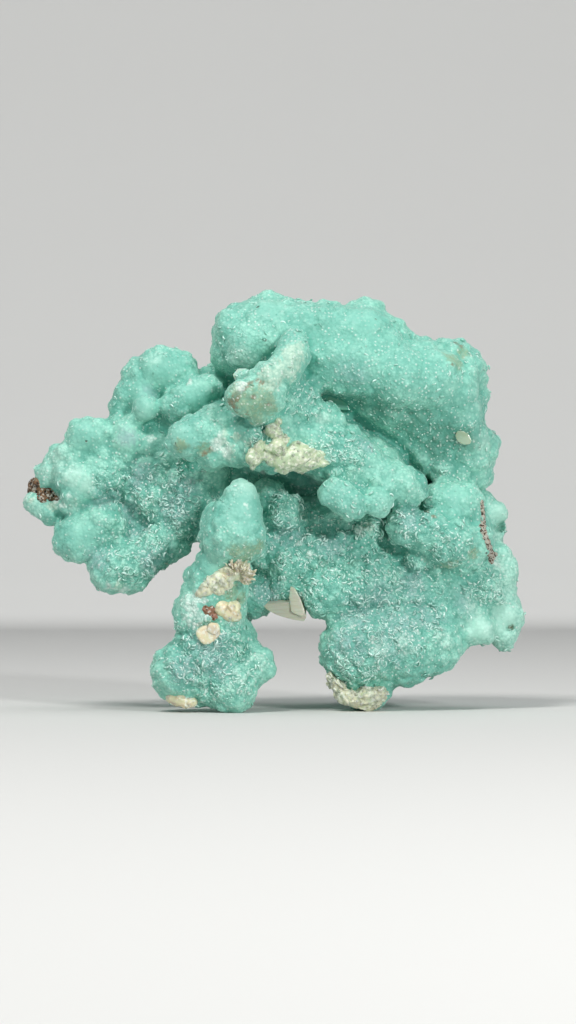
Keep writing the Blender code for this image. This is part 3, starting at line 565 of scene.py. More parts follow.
# The thin brown arc round the finger's end: its line in the picture, and half its width
FINGER_ARC = [(-5.6, 42.6), (-5.2, 43.7), (-4.3, 44.6), (-3.4, 45.4), (-2.3, 45.9), (-1.2, 45.5)]
ARC_HALF_WIDTH = 0.34
# Round dimples: place in the picture, radius and depth
DIMPLES = [
    (31.9, 25.2, 1.0, 1.3), (33.3, 11.2, 0.7, 1.0), (-1.2, 39.3, 0.8, 0.8), (26.0, 50.9, 0.7, 0.3),
]
# The crevice under the upper mass: its line in the picture, how wide and how deep it is cut
CREVICE = [
    (8.2, 43.2), (10.2, 41.6), (12.4, 39.9), (15.0, 38.2), (17.4, 36.6), (19.4, 34.4), (20.8, 32.2),
    (21.8, 30.4),
]
CREVICE_HALF_WIDTH = 1.2
CREVICE_DEPTH = 1.2
# Where the skin is crystalline, where it is smooth, and where white specks show
RICH = [
    (4.0, 20.0, 7.0), (-0.5, 17.0, 3.0), (17.0, 14.0, 8.0), (13.0, 7.0, 5.0), (-8.0, 6.5, 6.0),
    (-19.0, 22.0, 5.0),
    (-14.0, 29.0, 5.5), (25.0, 22.0, 3.5), (10.0, 36.0, 3.5), (30.0, 17.0, 3.0), (-22.0, 31.0, 3.0),
    (-1.0, 37.0, 2.5),
    (5.0, 43.0, 2.5), (12.0, 24.0, 4.0), (3.0, 28.0, 4.0), (19.6, 26.0, 2.5),
]
SPECKLED = [
    (14.0, 42.0, 4.0), (19.6, 39.6, 5.0), (25.0, 36.0, 4.6), (27.0, 40.0, 2.6), (11.0, 44.4, 2.6),
    (24.0, 32.6, 2.6),
    (13.0, 37.8, 2.2), (8.0, 37.0, 2.4),
]
SMOOTH = [
    (-4.0, 27.5, 2.8), (-3.0, 31.0, 2.0), (-8.6, 20.6, 1.8), (-10.6, 44.2, 2.0), (-18.4, 44.2, 2.2),
    (-16.0, 47.0, 2.4), (-26.0, 38.2, 2.4), (-20.6, 38.0, 2.0), (-12.4, 38.2, 1.8),
    (31.2, 27.2, 1.8), (-17.6, 41.6, 1.6), (-26.6, 24.2, 2.0), (-27.4, 31.6, 2.0), (25.6, 29.6, 2.0),
    (32.0, 12.4, 2.2), (29.0, 11.2, 1.8), (13.0, 54.6, 2.4), (-0.2, 56.0, 2.2), (24.4, 49.4, 1.8),
]

# Where the knobs are low although the skin is grainy
CALM = [
    (3.0, 51.0, 4.4), (11.0, 50.4, 4.6), (18.0, 47.6, 4.4), (23.6, 44.6, 3.8), (-3.6, 52.0, 3.8),
    (9.0, 46.6, 2.4),
]


def srgb(red, green, blue):
    """A screen colour out of 255 as scene-linear light."""
    levels = (red / 255, green / 255, blue / 255)
    return tuple(v / 12.92 if v <= 0.04045 else ((v + 0.055) / 1.055) ** 2.4 for v in levels)


def tint(name, description, colour):
    return FloatVectorProperty(
        name=name, description=description, subtype="COLOR", size=3, min=0, max=1, default=colour
    )


def length(name, description, millimetres):
    return FloatProperty(
        name=name, description=description, default=millimetres * MM, min=0, unit="LENGTH", precision=5
    )


def number(name, description, count):
    return IntProperty(name=name, description=description, default=count, min=0)


class MassSettings(bpy.types.PropertyGroup):
    voxel: length("Skin voxel", "Grain of the mass's mesh", 0.285)
    fill: length("Crease fill", "How far narrow creases are filled", 0.15)
    knob_smallest: length("Smallest knob", "Radius of the smallest knobs on the lobes", 1.0)
    knob_largest: length("Largest knob", "Radius of the largest knobs on the lobes", 1.6)
    knob_spacing: length("Knob spacing", "How far apart the knobs are", 1.75)
    knob_rise: length("Knob rise", "How far the knobs stand out of the lobes", 0.50)
    cobble: length("Cobble", "Spacing of the low cobbles of the skin", 1.1)
    cobble_rise: length("Cobble rise", "Height of the cobbles", 0.26)
    triangles: number("Triangles", "Most triangles of the skin", 196000)
    mint: tint("Mint", "The bright body of the lobes", srgb(154, 221, 201))
    teal: tint("Teal", "The deeper body colour between the mint", srgb(124, 198, 180))
    # Also painted highlight: this pale lies on the crests of the knobs and the tops of the domes, and the
    # pale marks are partly painted light
    pale: tint("Pale", "Thin milky parts of the skin", srgb(204, 242, 227))
    grey: tint("Grey", "Grey-lilac crystalline hollows", srgb(142, 182, 180))
    # Painted shade: this green darkens the creases, the hollows and the crevice of the skin, where shade
    # falls
    crease_shade: tint("Deep", "Saturated green in the hollows", srgb(80, 166, 148))
    olive: tint("Olive", "Yellowish stain", srgb(142, 170, 134))
    ochre: tint("Ochre", "Brown iron stain", srgb(128, 104, 72))
    frost: tint("Frost", "White crystalline crust", srgb(232, 248, 240))
    shade: tint("Shade", "Deep shaded green under the overhang", srgb(78, 136, 116))
    milk: tint("Milk", "Milky cream crust", srgb(194, 222, 202))
    pit: tint("Pit", "Dark specks", srgb(64, 84, 66))


class DruseSettings(bpy.types.PropertyGroup):
    smallest: length("Smallest crystal", "Half the size of the smallest crystals", 0.09)
    largest: length("Largest crystal", "Half the size of the largest crystals", 0.22)
    crystals: number("Crystals", "How many crystals stand on the skin", 30000)
    slivers: number("Slivers", "How many curved slivers glint on the skin", 6000)
    sliver: length("Sliver bend", "Radius of the bend of a curved sliver", 0.50)
    clump: length("Clump", "How wide the clumps of slivers are", 1.5)
    # Partly painted glints: crystals and slivers are whitened towards this, beside the truly clear crystals
    white: tint("White", "The clear crystals", srgb(222, 252, 243))


class CalciteSettings(bpy.types.PropertyGroup):
    voxel: length("Voxel", "Grain of the calcite meshes", 0.13)
    facet: length("Facet", "Width of the calcite facets", 0.62)
    cream: tint("Cream", "The body of the calcite lumps", srgb(226, 225, 186))
    green: tint("Green cream", "Calcite with the smithsonite shining through", srgb(184, 206, 170))
    milky: tint("Milky cream", "Cloudy parts of the greenish calcite", srgb(208, 220, 188))
    peach: tint("Peach", "Iron-tinted calcite", srgb(230, 214, 180))
    yellow: tint("Yellow", "Clear yellowish calcite under the right foot", srgb(240, 240, 202))
    white: tint("White", "The bright edges of the calcite", srgb(244, 246, 230))
    leaf: tint("Leaf", "The blades under the arch", srgb(232, 232, 208))
    tan: tint("Tan", "The oval plate", srgb(160, 186, 158))
    # Partly painted shade: the cleavage plate's own greenish tint, darkened as it looks in the crevice's
    # shade
    shaded_cleavage: tint("Cleavage", "The flat cleavage plate", srgb(94, 180, 154))


class GossanSettings(bpy.types.PropertyGroup):
    voxel: length("Voxel", "Grain of the gossan meshes", 0.13)
    brown: tint("Brown", "Rusty body of the gossan", srgb(128, 98, 70))
    rust: tint("Rust", "The reddish spot on the leg", srgb(160, 116, 98))
    # Its dark grains; a darker share of it is painted shade in the pores
    dark: tint("Dark", "Its pores and dark grains", srgb(62, 49, 38))
    grey: tint("Grey", "Its pale grains", srgb(190, 188, 176))


class StageSettings(bpy.types.PropertyGroup):
    floor: tint("Floor", "The floor and its upturned rim", srgb(214, 214, 212))
    floor_radius: length("Floor radius", "Flat part of the floor", 650)
    rim_radius: length("Rim radius", "Roundness of the upturned rim", 700)
    rim_height: length("Rim height", "Height of the rim", 900)


class Field:
    """A value that varies over a surface. Arithmetic on it adds Math nodes."""

    def __init__(self, recipe, socket):
        self.recipe = recipe
        self.socket = socket

    def maths(self, operation, first, second):
        return self.recipe.node("ShaderNodeMath", {"operation": operation}, [first, second])

    def __add__(self, other):
        return self.maths("ADD", self, other)

    def __sub__(self, other):
        return self.maths("SUBTRACT", self, other)

    def __rsub__(self, other):
        return self.maths("SUBTRACT", other, self)

    def __mul__(self, other):
        return self.maths("MULTIPLY", self, other)

    def __truediv__(self, other):
        return self.maths("DIVIDE", self, other)

    __radd__ = __add__
    __rmul__ = __mul__


class Recipe:
    """The node tree of one finish."""

    def __init__(self, name, roughness, **constants):
        self.finish = bpy.data.materials.new(name)
        self.finish.use_nodes = True
        self.tree = self.finish.node_tree
        self.shader = self.tree.nodes["Principled BSDF"]
        self.set("Roughness", roughness)
        for socket, value in constants.items():
            self.set(socket.replace("_", " "), value)

    def set(self, socket, value):
        """Gives one of the shader's sockets a value or a link."""
        self.feed(self.shader.inputs[socket], value)

    def feed(self, socket, value):
        if isinstance(value, Field):
            self.tree.links.new(value.socket, socket)
        elif socket.type == "RGBA":
            socket.default_value = (*value[:3], 1.0)
        else:
            socket.default_value = value

    def node(self, kind, settings=(), inputs=(), output=0):
        """Adds a node: its settings first, then its sockets' values or links, by place or by name."""
        made = self.tree.nodes.new(kind)
        for key, value in dict(settings).items():
            setattr(made, key, value)
        pairs = inputs.items() if isinstance(inputs, dict) else enumerate(inputs)
        for key, value in pairs:
            self.feed(made.inputs[key], value)
        return Field(self, made.outputs[output])

    def also(self, field, output):
        """Another output of the node that a field comes from."""
        return Field(self, field.socket.node.outputs[output])

    def place(self):
        """Where a point is on the specimen, in millimetres."""
        where = self.node("ShaderNodeTexCoord", output="Object")
        return self.node("ShaderNodeVectorMath", {"operation": "SCALE"}, {"Vector": where, "Scale": 1 / MM})

    def stretched(self, where, scale):
        """The place squeezed along each axis, for patterns with a grain."""
        return self.node("ShaderNodeVectorMath", {"operation": "MULTIPLY"}, [where, scale])

    def warped(self, where, field):
        """The place pushed about by a field, so that patterns on it lose their straight lines."""
        return self.node("ShaderNodeVectorMath", {"operation": "ADD"}, [where, field])

    def noise(self, where, size, detail=1.0, roughness=0.5):
        """Soft noise whose blotches are about the given size."""
        values = {"Vector": where, "Scale": 1 / size, "Detail": detail, "Roughness": roughness}
        return self.node("ShaderNodeTexNoise", {}, values)

    def cells(self, where, size):
        """Voronoi cells of about the given size."""
        return self.node("ShaderNodeTexVoronoi", {}, {"Vector": where, "Scale": 1 / size})

    def pick(self, cells):
        """A value between 0 and 1 of each cell's own."""
        return self.node("ShaderNodeSeparateColor", {}, [self.also(cells, "Color")])

    def step(self, value, low, high, start=0.0, end=1.0):
        """A smooth step from start to end as the value goes from low to high."""
        settings = {"interpolation_type": "SMOOTHSTEP"}
        return self.node("ShaderNodeMapRange", settings, [value, low, high, start, end])

    def attribute(self, name):
        return self.node("ShaderNodeAttribute", {"attribute_name": name}, output="Fac")

    def mix(self, mask, under, over):
        """Lays one colour over another where the mask is 1."""
        return self.node("ShaderNodeMix", {"data_type": "RGBA"}, {"Factor": mask, 6: under, 7: over}, 2)

    def bump(self, height, distance, strength=1.0):
        values = {"Height": height, "Distance": distance, "Strength": strength}
        return self.node("ShaderNodeBump", {}, values)


def mesh_of(shape, name):
    mesh = bpy.data.meshes.new(name)
    shape.to_mesh(mesh)
    shape.free()
    return mesh


def add_lobe(shape, lobe):
    """Adds one lobe: the hull round its two end spheres."""
    start, end, start_radius, end_radius = lobe
    part = bmesh.new()
    bmesh.ops.create_icosphere(
        part, subdivisions=3, radius=start_radius * MM, matrix=Matrix.Translation(Vector(start) * MM)
    )
    if start != end:
        bmesh.ops.create_icosphere(
            part, subdivisions=3, radius=end_radius * MM, matrix=Matrix.Translation(Vector(end) * MM)
        )
        hull = bmesh.ops.convex_hull(part, input=part.verts)
        bmesh.ops.delete(part, geom=hull["geom_interior"], context="VERTS")
    bmesh.ops.recalc_face_normals(part, faces=part.faces)
    copy = mesh_of(part, "lobe")
    shape.from_mesh(copy)
    bpy.data.meshes.remove(copy)


def lobes_mesh(lobes, name):
    shape = bmesh.new()
    for lobe in lobes:
        add_lobe(shape, lobe)
    return mesh_of(shape, name)


def corners_of(mesh):
    places = np.empty(len(mesh.vertices) * 3, np.float32)
    mesh.vertices.foreach_get("co", places)
    return places.reshape(-1, 3).astype(float)


def move_corners(mesh, places):
    mesh.vertices.foreach_set("co", places.astype(np.float32).ravel())
    mesh.update()


def normals_of(mesh):
    normals = np.empty(len(mesh.vertices) * 3, np.float32)
    mesh.vertex_normals.foreach_get("vector", normals)
    return normals.reshape(-1, 3).astype(float)


def triangles_of(mesh):
    mesh.calc_loop_triangles()
    found = np.empty(len(mesh.loop_triangles) * 3, np.int32)
    mesh.loop_triangles.foreach_get("vertices", found)
    return found.reshape(-1, 3)


def grown(mesh, *modifiers):
    """The mesh that a stack of modifiers makes of a mesh: each is its type and its settings."""
    carrier = bpy.data.objects.new("carrier", mesh)
    bpy.context.scene.collection.objects.link(carrier)
    for kind, settings in modifiers:
        step = carrier.modifiers.new(kind, kind)
        for key, value in settings.items():
            setattr(step, key, value)
    bpy.context.view_layer.update()
    result = bpy.data.meshes.new_from_object(carrier.evaluated_get(bpy.context.evaluated_depsgraph_get()))
    bpy.data.objects.remove(carrier)
    return result


def fused(mesh, voxel, passes=2, strength=0.5):
    """Overlapping shapes grown together into one skin."""
    return grown(
        mesh,
        ("REMESH", {"mode": "VOXEL", "voxel_size": voxel}),
        ("SMOOTH", {"factor": strength, "iterations": passes}),
    )


def filled(mesh, reach, voxel):
    """Fills narrow creases: swollen by the reach, fused, and shrunk back."""
    return grown(
        mesh,
        ("REMESH", {"mode": "VOXEL", "voxel_size": voxel}),
        ("DISPLACE", {"strength": reach, "mid_level": 0.0}),
        ("REMESH", {"mode": "VOXEL", "voxel_size": voxel}),
        ("DISPLACE", {"strength": -reach, "mid_level": 0.0}),
        ("REMESH", {"mode": "VOXEL", "voxel_size": voxel}),
    )


def scattered_points(mesh, count, draw, weight=None):
    """Random places on a mesh with their normals, thicker where a corner's weight is more."""
    corners, normals, triangles = corners_of(mesh), normals_of(mesh), triangles_of(mesh)
    a, b, c = (corners[triangles[:, i]] for i in range(3))
    area = np.linalg.norm(np.cross(b - a, c - a), axis=1)
    if weight is not None:
        area = area * weight[triangles].mean(axis=1)
    chosen = draw.choice(len(triangles), size=count, p=area / area.sum())
    u, v = draw.random(count), draw.random(count)
    over = u + v > 1
    u[over], v[over] = 1 - u[over], 1 - v[over]
    shares = np.stack([1 - u - v, u, v], axis=1)[:, :, None]
    places = (corners[triangles[chosen]] * shares).sum(axis=1)
    facing = (normals[triangles[chosen]] * shares).sum(axis=1)
    return places, facing / np.linalg.norm(facing, axis=1)[:, None]


def tree_of(points):
    tree = KDTree(len(points))
    for index, point in enumerate(points):
        tree.insert(point, index)
    tree.balance()
    return tree


def even_points(mesh, spacing, draw):
    """Random places on a mesh, none nearer to another than the spacing."""
    corners, triangles = corners_of(mesh), triangles_of(mesh)
    a, b, c = (corners[triangles[:, i]] for i in range(3))
    area = np.linalg.norm(np.cross(b - a, c - a), axis=1).sum() / 2
    places, normals = scattered_points(mesh, int(5 * area / spacing**2), draw)
    tree = tree_of(places)
    free = np.ones(len(places), bool)
    kept = []
    for index, place in enumerate(places):
        if free[index]:
            kept.append(index)
            for _, other, _ in tree.find_range(place, spacing):
                free[other] = False
    return places[kept], normals[kept]


def nearest(points, seeds, neighbours):
    tree = tree_of(seeds)
    return np.array([[hit[1] for hit in tree.find_n(point, neighbours)] for point in points])


def cobbled(mesh, spacing, rise, draw, weight):
    """Raises the skin into low round cobbles."""
    seeds = even_points(mesh, spacing, draw)[0]
    corners, normals = corners_of(mesh), normals_of(mesh)
    near = nearest(corners, seeds, 4)
    reach = spacing * (0.60 + 0.20 * draw.random(len(seeds)))
    height = 0.55 + 0.45 * draw.random(len(seeds))
    away = np.linalg.norm(corners[:, None] - seeds[near], axis=2)
    lift = (height[near] * (1 - (away / reach[near]) ** 2)).max(axis=1).clip(0, 1)
    move_corners(mesh, corners + normals * (rise * lift * weight(corners))[:, None])


def repeated(template, turns, places, name):
    """One mesh of many copies of a small closed shape, each with its own turn and size, and its place."""
    corners, faces = corners_of(template), [list(face.vertices) for face in template.polygons]
    count, size = len(places), len(corners)
    spread = np.einsum("nij,mj->nmi", turns, corners) + places[:, None]
    loops = np.array([corner for face in faces for corner in face])
    all_loops = (loops[None] + size * np.arange(count)[:, None]).ravel()
    starts = np.cumsum([0] + [len(face) for face in faces])
    all_starts = (starts[None, :-1] + starts[-1] * np.arange(count)[:, None]).ravel()
    mesh = bpy.data.meshes.new(name)
    mesh.vertices.add(count * size)
    mesh.vertices.foreach_set("co", spread.astype(np.float32).ravel())
    mesh.loops.add(len(all_loops))
    mesh.loops.foreach_set("vertex_index", all_loops.astype(np.int32))
    mesh.polygons.add(len(all_starts))
    mesh.polygons.foreach_set("loop_start", all_starts.astype(np.int32))
    mesh.update(calc_edges=True)
    return mesh


def joined(meshes, name):
    shape = bmesh.new()
    for mesh in meshes:
        shape.from_mesh(mesh)
    return mesh_of(shape, name)


def turned_to(normals, draw, tilt):
    """Random turns whose own Z points roughly along the normals."""
    count = len(normals)
    lean = normals + draw.normal(0, tilt, (count, 3))
    up = lean / np.linalg.norm(lean, axis=1)[:, None]
    side = np.cross(up, draw.normal(0, 1, (count, 3)))
    side /= np.linalg.norm(side, axis=1)[:, None]
    return np.stack([side, np.cross(up, side), up], axis=2)


def store(mesh, name, values):
    layer = mesh.attributes.new(name, "FLOAT", "POINT")
    layer.data.foreach_set("value", np.asarray(values, np.float32))


def sight_tree(mesh):
    return BVHTree.FromPolygons([v.co for v in mesh.vertices], [p.vertices for p in mesh.polygons])


def seen_at(tree, across, up):
    """The place on the surface that the viewer sees at a point of the picture, or None."""
    eye = (Vector(VIEW_AIM) + Vector((0, -VIEW_DISTANCE, 0))) * MM
    sight = Vector((across * MM, 0, up * MM)) - eye
    return tree.ray_cast(eye, sight.normalized())[0]


def front_places(mesh, rows):
    """The marks' middles on the surface, found by looking from the viewer through the picture."""
    tree = sight_tree(mesh)
    found = [(seen_at(tree, across, up), radius * MM) for across, up, radius in rows]
    return [(np.array(hit), radius) for hit, radius in found if hit is not None]


def nearness(points, marks):
    """1 in the middle of a mark, one half at its edge and 0 a radius further."""
    closest = np.zeros(len(points))
    for middle, radius in marks:
        away = np.linalg.norm(points - middle, axis=1)
        closest = np.maximum(closest, 1 - away / (2 * radius))
    return closest


def share(value, low, high):
    """A straight step from 0 to 1."""
    return np.clip((value - low) / (high - low), 0, 1)


def relief(mesh, passes):
    """How far each point stands out of its softened surroundings, in millimetres."""
    corners = corners_of(mesh)
    ends = np.empty(len(mesh.edges) * 2, np.int32)
    mesh.edges.foreach_get("vertices", ends)
    first, second = ends[0::2], ends[1::2]
    degree = np.bincount(ends, minlength=len(corners))[:, None]
    soft = corners.copy()
    for _ in range(passes):
        total = np.stack(
            [
                np.bincount(first, soft[second, axis], len(corners))
                + np.bincount(second, soft[first, axis], len(corners))
                for axis in range(3)
            ],
            axis=1,
        )
        soft = 0.5 * soft + 0.5 * total / degree
    return ((corners - soft) * normals_of(mesh)).sum(axis=1) / MM


def place_piece(mesh, name, finish, replaced=()):
    """Puts a finished mesh in the scene, riding on the specimen's one body."""
    mesh.name = name
    mesh.materials.clear()
    mesh.materials.append(finish)
    piece = bpy.data.objects.new(name, mesh)
    bpy.context.scene.collection.objects.link(piece)
    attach(piece, BODY)
    if replaced:
        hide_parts(*replaced)
    return piece


def mark_up(mesh, points, marks):
    for name, places in marks.items():
        store(mesh, name, nearness(points, places))


# Each colour laid on the skin: real stains, beside painted shade in creases, hollows and under the overhang,
# and pale marks that are partly painted light. Per entry: its attribute, its colour setting, how soft its
# edge is, and how strong it gets
STAINS = [
    ("crease_shade", "crease_shade", 0.30, 0.65),
    ("grey", "grey", 0.30, 0.75),
    ("pale", "pale", 0.34, 0.50),
    ("shade", "shade", 0.34, 0.70),
    ("cool", "teal", 0.40, 0.85),
    ("milk", "milk", 0.22, 0.85),
    ("olive", "olive", 0.26, 0.85),
    ("ochre", "ochre", 0.20, 0.80),
    ("frost", "frost", 0.26, 0.75),
]


def skin_colour(recipe, settings, where, relief_seen=True):
    """The body colour of the smithsonite, with its stains and frost, its marks of painted light and shade,
    and, where the relief is seen, painted shade in its hollows and creases and painted highlights on its
    crests.
    """
    grain = recipe.noise(where, 0.5, 2, 0.6)
    patch = recipe.noise(where, 1.9, 1)
    blotch = recipe.noise(where, 7.0, 1)
    sugar = recipe.cells(where, 0.46)
    rag = (grain - 0.5) * 0.7 + (patch - 0.5) * 0.6 + (recipe.pick(sugar) - 0.5) * 0.25
    colour = recipe.mix(recipe.step(blotch + rag * 0.25, 0.36, 0.66), settings.mint, settings.teal)
    if relief_seen:
        fine, broad = recipe.attribute("relief"), recipe.attribute("hollow")
        # Painted shade: the broad hollows and the fine creases between the knobs are darkened to saturated
        # green
        colour = recipe.mix(recipe.step(broad, -0.05, -0.75, 0, 0.75), colour, settings.crease_shade)
        colour = recipe.mix(recipe.step(fine, 0.0, -0.13, 0, 0.60), colour, settings.crease_shade)
        # Painted highlight: the crests of the knobs are paled
        painted_crest_highlight = recipe.step(fine + (grain - 0.5) * 0.2, 0.03, 0.20, 0, 0.15)
        colour = recipe.mix(painted_crest_highlight, colour, settings.pale)
    for name, tone, soft, most in STAINS:
        mask = recipe.step(recipe.attribute(name) + rag, 0.5 - soft, 0.5 + soft, 0, most)
        colour = recipe.mix(mask, colour, getattr(settings, tone))
    return colour, grain, rag, sugar


def skin_finish(settings):
    recipe = Recipe(
        "waxy smithsonite",
        0.4,
        IOR=1.6,
        Subsurface_Weight=0.18,
        Subsurface_Radius=(0.8, 1.0, 0.95),
        Subsurface_Scale=0.5 * MM,
        Sheen_Weight=0.5,
        Sheen_Roughness=0.4,
        Sheen_Tint=settings.pale,
    )
    where = recipe.place()
    colour, grain, rag, sugar = skin_colour(recipe, settings, where)
    dome = recipe.cells(recipe.warped(where, rag), 1.2)
    tone = recipe.pick(sugar)
    rich, smooth = recipe.attribute("rich"), recipe.attribute("smooth")
    rough = recipe.step(rich, 0.3, 0.6, 0.6, 1.0) * recipe.step(smooth, 0.65, 0.4, 0.4, 1.0)
    # Painted shade: the creases between the domes are darkened
    colour = recipe.mix(recipe.step(dome, 0.40, 0.75) * (rough * rough) * 0.6, colour, settings.crease_shade)
    # Painted highlight: the middles of the domes are paled
    colour = recipe.mix(recipe.step(dome, 0.40, 0.05) * rough * 0.3, colour, settings.pale)
    # Painted shade: the gaps between the sugary grains are darkened
    colour = recipe.mix(recipe.step(sugar, 0.40, 0.70) * rough * 0.6, colour, settings.crease_shade)
    # White specks on the grains: partly frosty crystal tips, partly painted glints
    chosen = recipe.step(tone + recipe.attribute("speckled") * 0.25, 0.60, 0.90)
    speck = recipe.step(sugar, 0.42, 0.22) * chosen
    colour = recipe.mix(speck * (rough * 0.85 + 0.05), colour, settings.frost)
    pits = recipe.step(recipe.attribute("pit") + rag * 0.4, 0.40, 0.60)
    colour = recipe.mix(pits * 0.9, colour, settings.pit)
    recipe.set("Base Color", colour)
    recipe.set("Roughness", recipe.step(grain, 0.35, 0.65, 0.42, 0.62))
    height = speck * 0.3 - sugar * 0.55 - dome * rough * 1.2 + grain * 0.3
    height = height * (rough * 0.8 + 0.2) - pits * 0.6
    recipe.set("Normal", recipe.bump(height, 0.25 * MM, 0.9))
    return recipe.finish


def druse_finish(settings, druse):
    recipe = Recipe("druse crystals", 0.16, IOR=1.75)
    colour = skin_colour(recipe, settings, recipe.place(), relief_seen=False)[0]
    # Whitened crystals: partly clear crystal, partly painted glints
    recipe.set("Base Color", recipe.mix(recipe.attribute("clear"), colour, druse.white))
    return recipe.finish


def knob_lobes(mesh, settings, smooth, draw):
    """Round knobs, evenly spread, that stand a little out of the lobes."""
    places, normals = even_points(mesh, settings.knob_spacing, draw)
    count = len(places)
    radii = settings.knob_smallest + (settings.knob_largest - settings.knob_smallest) * draw.random(count)
    proud = settings.knob_rise * (0.45 + 0.75 * draw.random(count))
    proud *= 1 - 0.55 * share(nearness(places, smooth), 0.4, 0.6)
    middles = places - normals * (radii - proud)[:, None]
    template = bmesh.new()
    bmesh.ops.create_icosphere(template, subdivisions=2, radius=1.0)
    ball = mesh_of(template, "ball")
    return repeated(ball, np.eye(3)[None] * radii[:, None, None], middles, "knobs")


def thinned(mesh, most):
    """Merges the least needed triangles until no more than so many are left."""
    ratio = min(1.0, most / len(triangles_of(mesh)))
    return grown(mesh, ("TRIANGULATE", {}), ("DECIMATE", {"ratio": ratio}))


def stepped(line, stride):
    """Points along a line in the picture, a stride apart."""
    points = []
    for (x, z), (far_x, far_z) in zip(line, line[1:]):
        steps = math.ceil(math.hypot(far_x - x, far_z - z) / stride)
        for step in range(steps):
            along = step / steps
            points.append((x + (far_x - x) * along, z + (far_z - z) * along))
    return points


def dented(mesh, rows):
    """Sinks round dimples into the skin as the viewer sees them: across, up, radius and depth."""
    tree, corners = sight_tree(mesh), corners_of(mesh)
    sunk = np.zeros(len(corners))
    for across, up, radius, depth in rows:
        hit = seen_at(tree, across, up)
        if hit is not None:
            away = np.linalg.norm(corners - np.array(hit), axis=1) / (radius * MM)
            sunk = np.maximum(sunk, depth * MM * np.clip(1 - away**2, 0, 1))
    corners[:, 1] += sunk
    move_corners(mesh, corners)


def rest_on_floor(mesh):
    """Flattens what reaches under the floor."""
    corners = corners_of(mesh)
    corners[:, 2] = np.maximum(corners[:, 2], 0.0)
    move_corners(mesh, corners)


SHARED = {}


class SPECIMEN_OT_mass(bpy.types.Operator):
    """Builds the botryoidal mass with its waxy skin"""

    bl_idname = "specimen.mass"
    bl_label = "Build the mass"

    def execute(self, context):
        settings = context.scene.specimen_mass
        draw = np.random.default_rng(11)
        body = filled(lobes_mesh(MASS, "lobes"), settings.fill, 0.45 * MM)
        smooth = front_places(body, SMOOTH + CALM)
        knobs = knob_lobes(body, settings, smooth, draw)
        mass = fused(joined([body, knobs], "whole"), settings.voxel, 1, 0.4)
        smooth, rich = front_places(mass, SMOOTH + CALM), front_places(mass, RICH)

        def lumpy(points):
            rise = 0.55 + 0.75 * share(nearness(points, rich), 0.35, 0.6)
            return rise * (1 - 0.6 * share(nearness(points, smooth), 0.35, 0.6))

        cobbled(mass, settings.cobble, settings.cobble_rise, draw, lumpy)
        mass = thinned(mass, settings.triangles)
        cut = stepped(CREVICE, 0.5)
        dented(mass, DIMPLES + [(across, up, CREVICE_HALF_WIDTH, CREVICE_DEPTH) for across, up in cut])
        rest_on_floor(mass)
        mass.shade_smooth()
        marks = {name: front_places(mass, rows) for name, rows in MARKS.items()}
        # Painted shade along the crevice under the upper mass
        marks["crease_shade"] += front_places(mass, [(across, up, 0.9) for across, up in cut])
        arc = stepped(FINGER_ARC, ARC_HALF_WIDTH)
        marks["ochre"] += front_places(mass, [(across, up, ARC_HALF_WIDTH) for across, up in arc])
        zones = {
            "rich": front_places(mass, RICH),
            "smooth": front_places(mass, SMOOTH),
            "speckled": front_places(mass, SPECKLED),
        }
        mark_up(mass, corners_of(mass), {**marks, **zones})
        # These feed the skin's painted shade in creases and hollows and its painted highlights on crests
        store(mass, "relief", relief(mass, 8))
        store(mass, "hollow", relief(mass, 120))
        SHARED.update(skin=mass, marks=marks, zones=zones)
        place_piece(mass, "mass_skin", skin_finish(settings), ["smithsonite"])
        return {"FINISHED"}


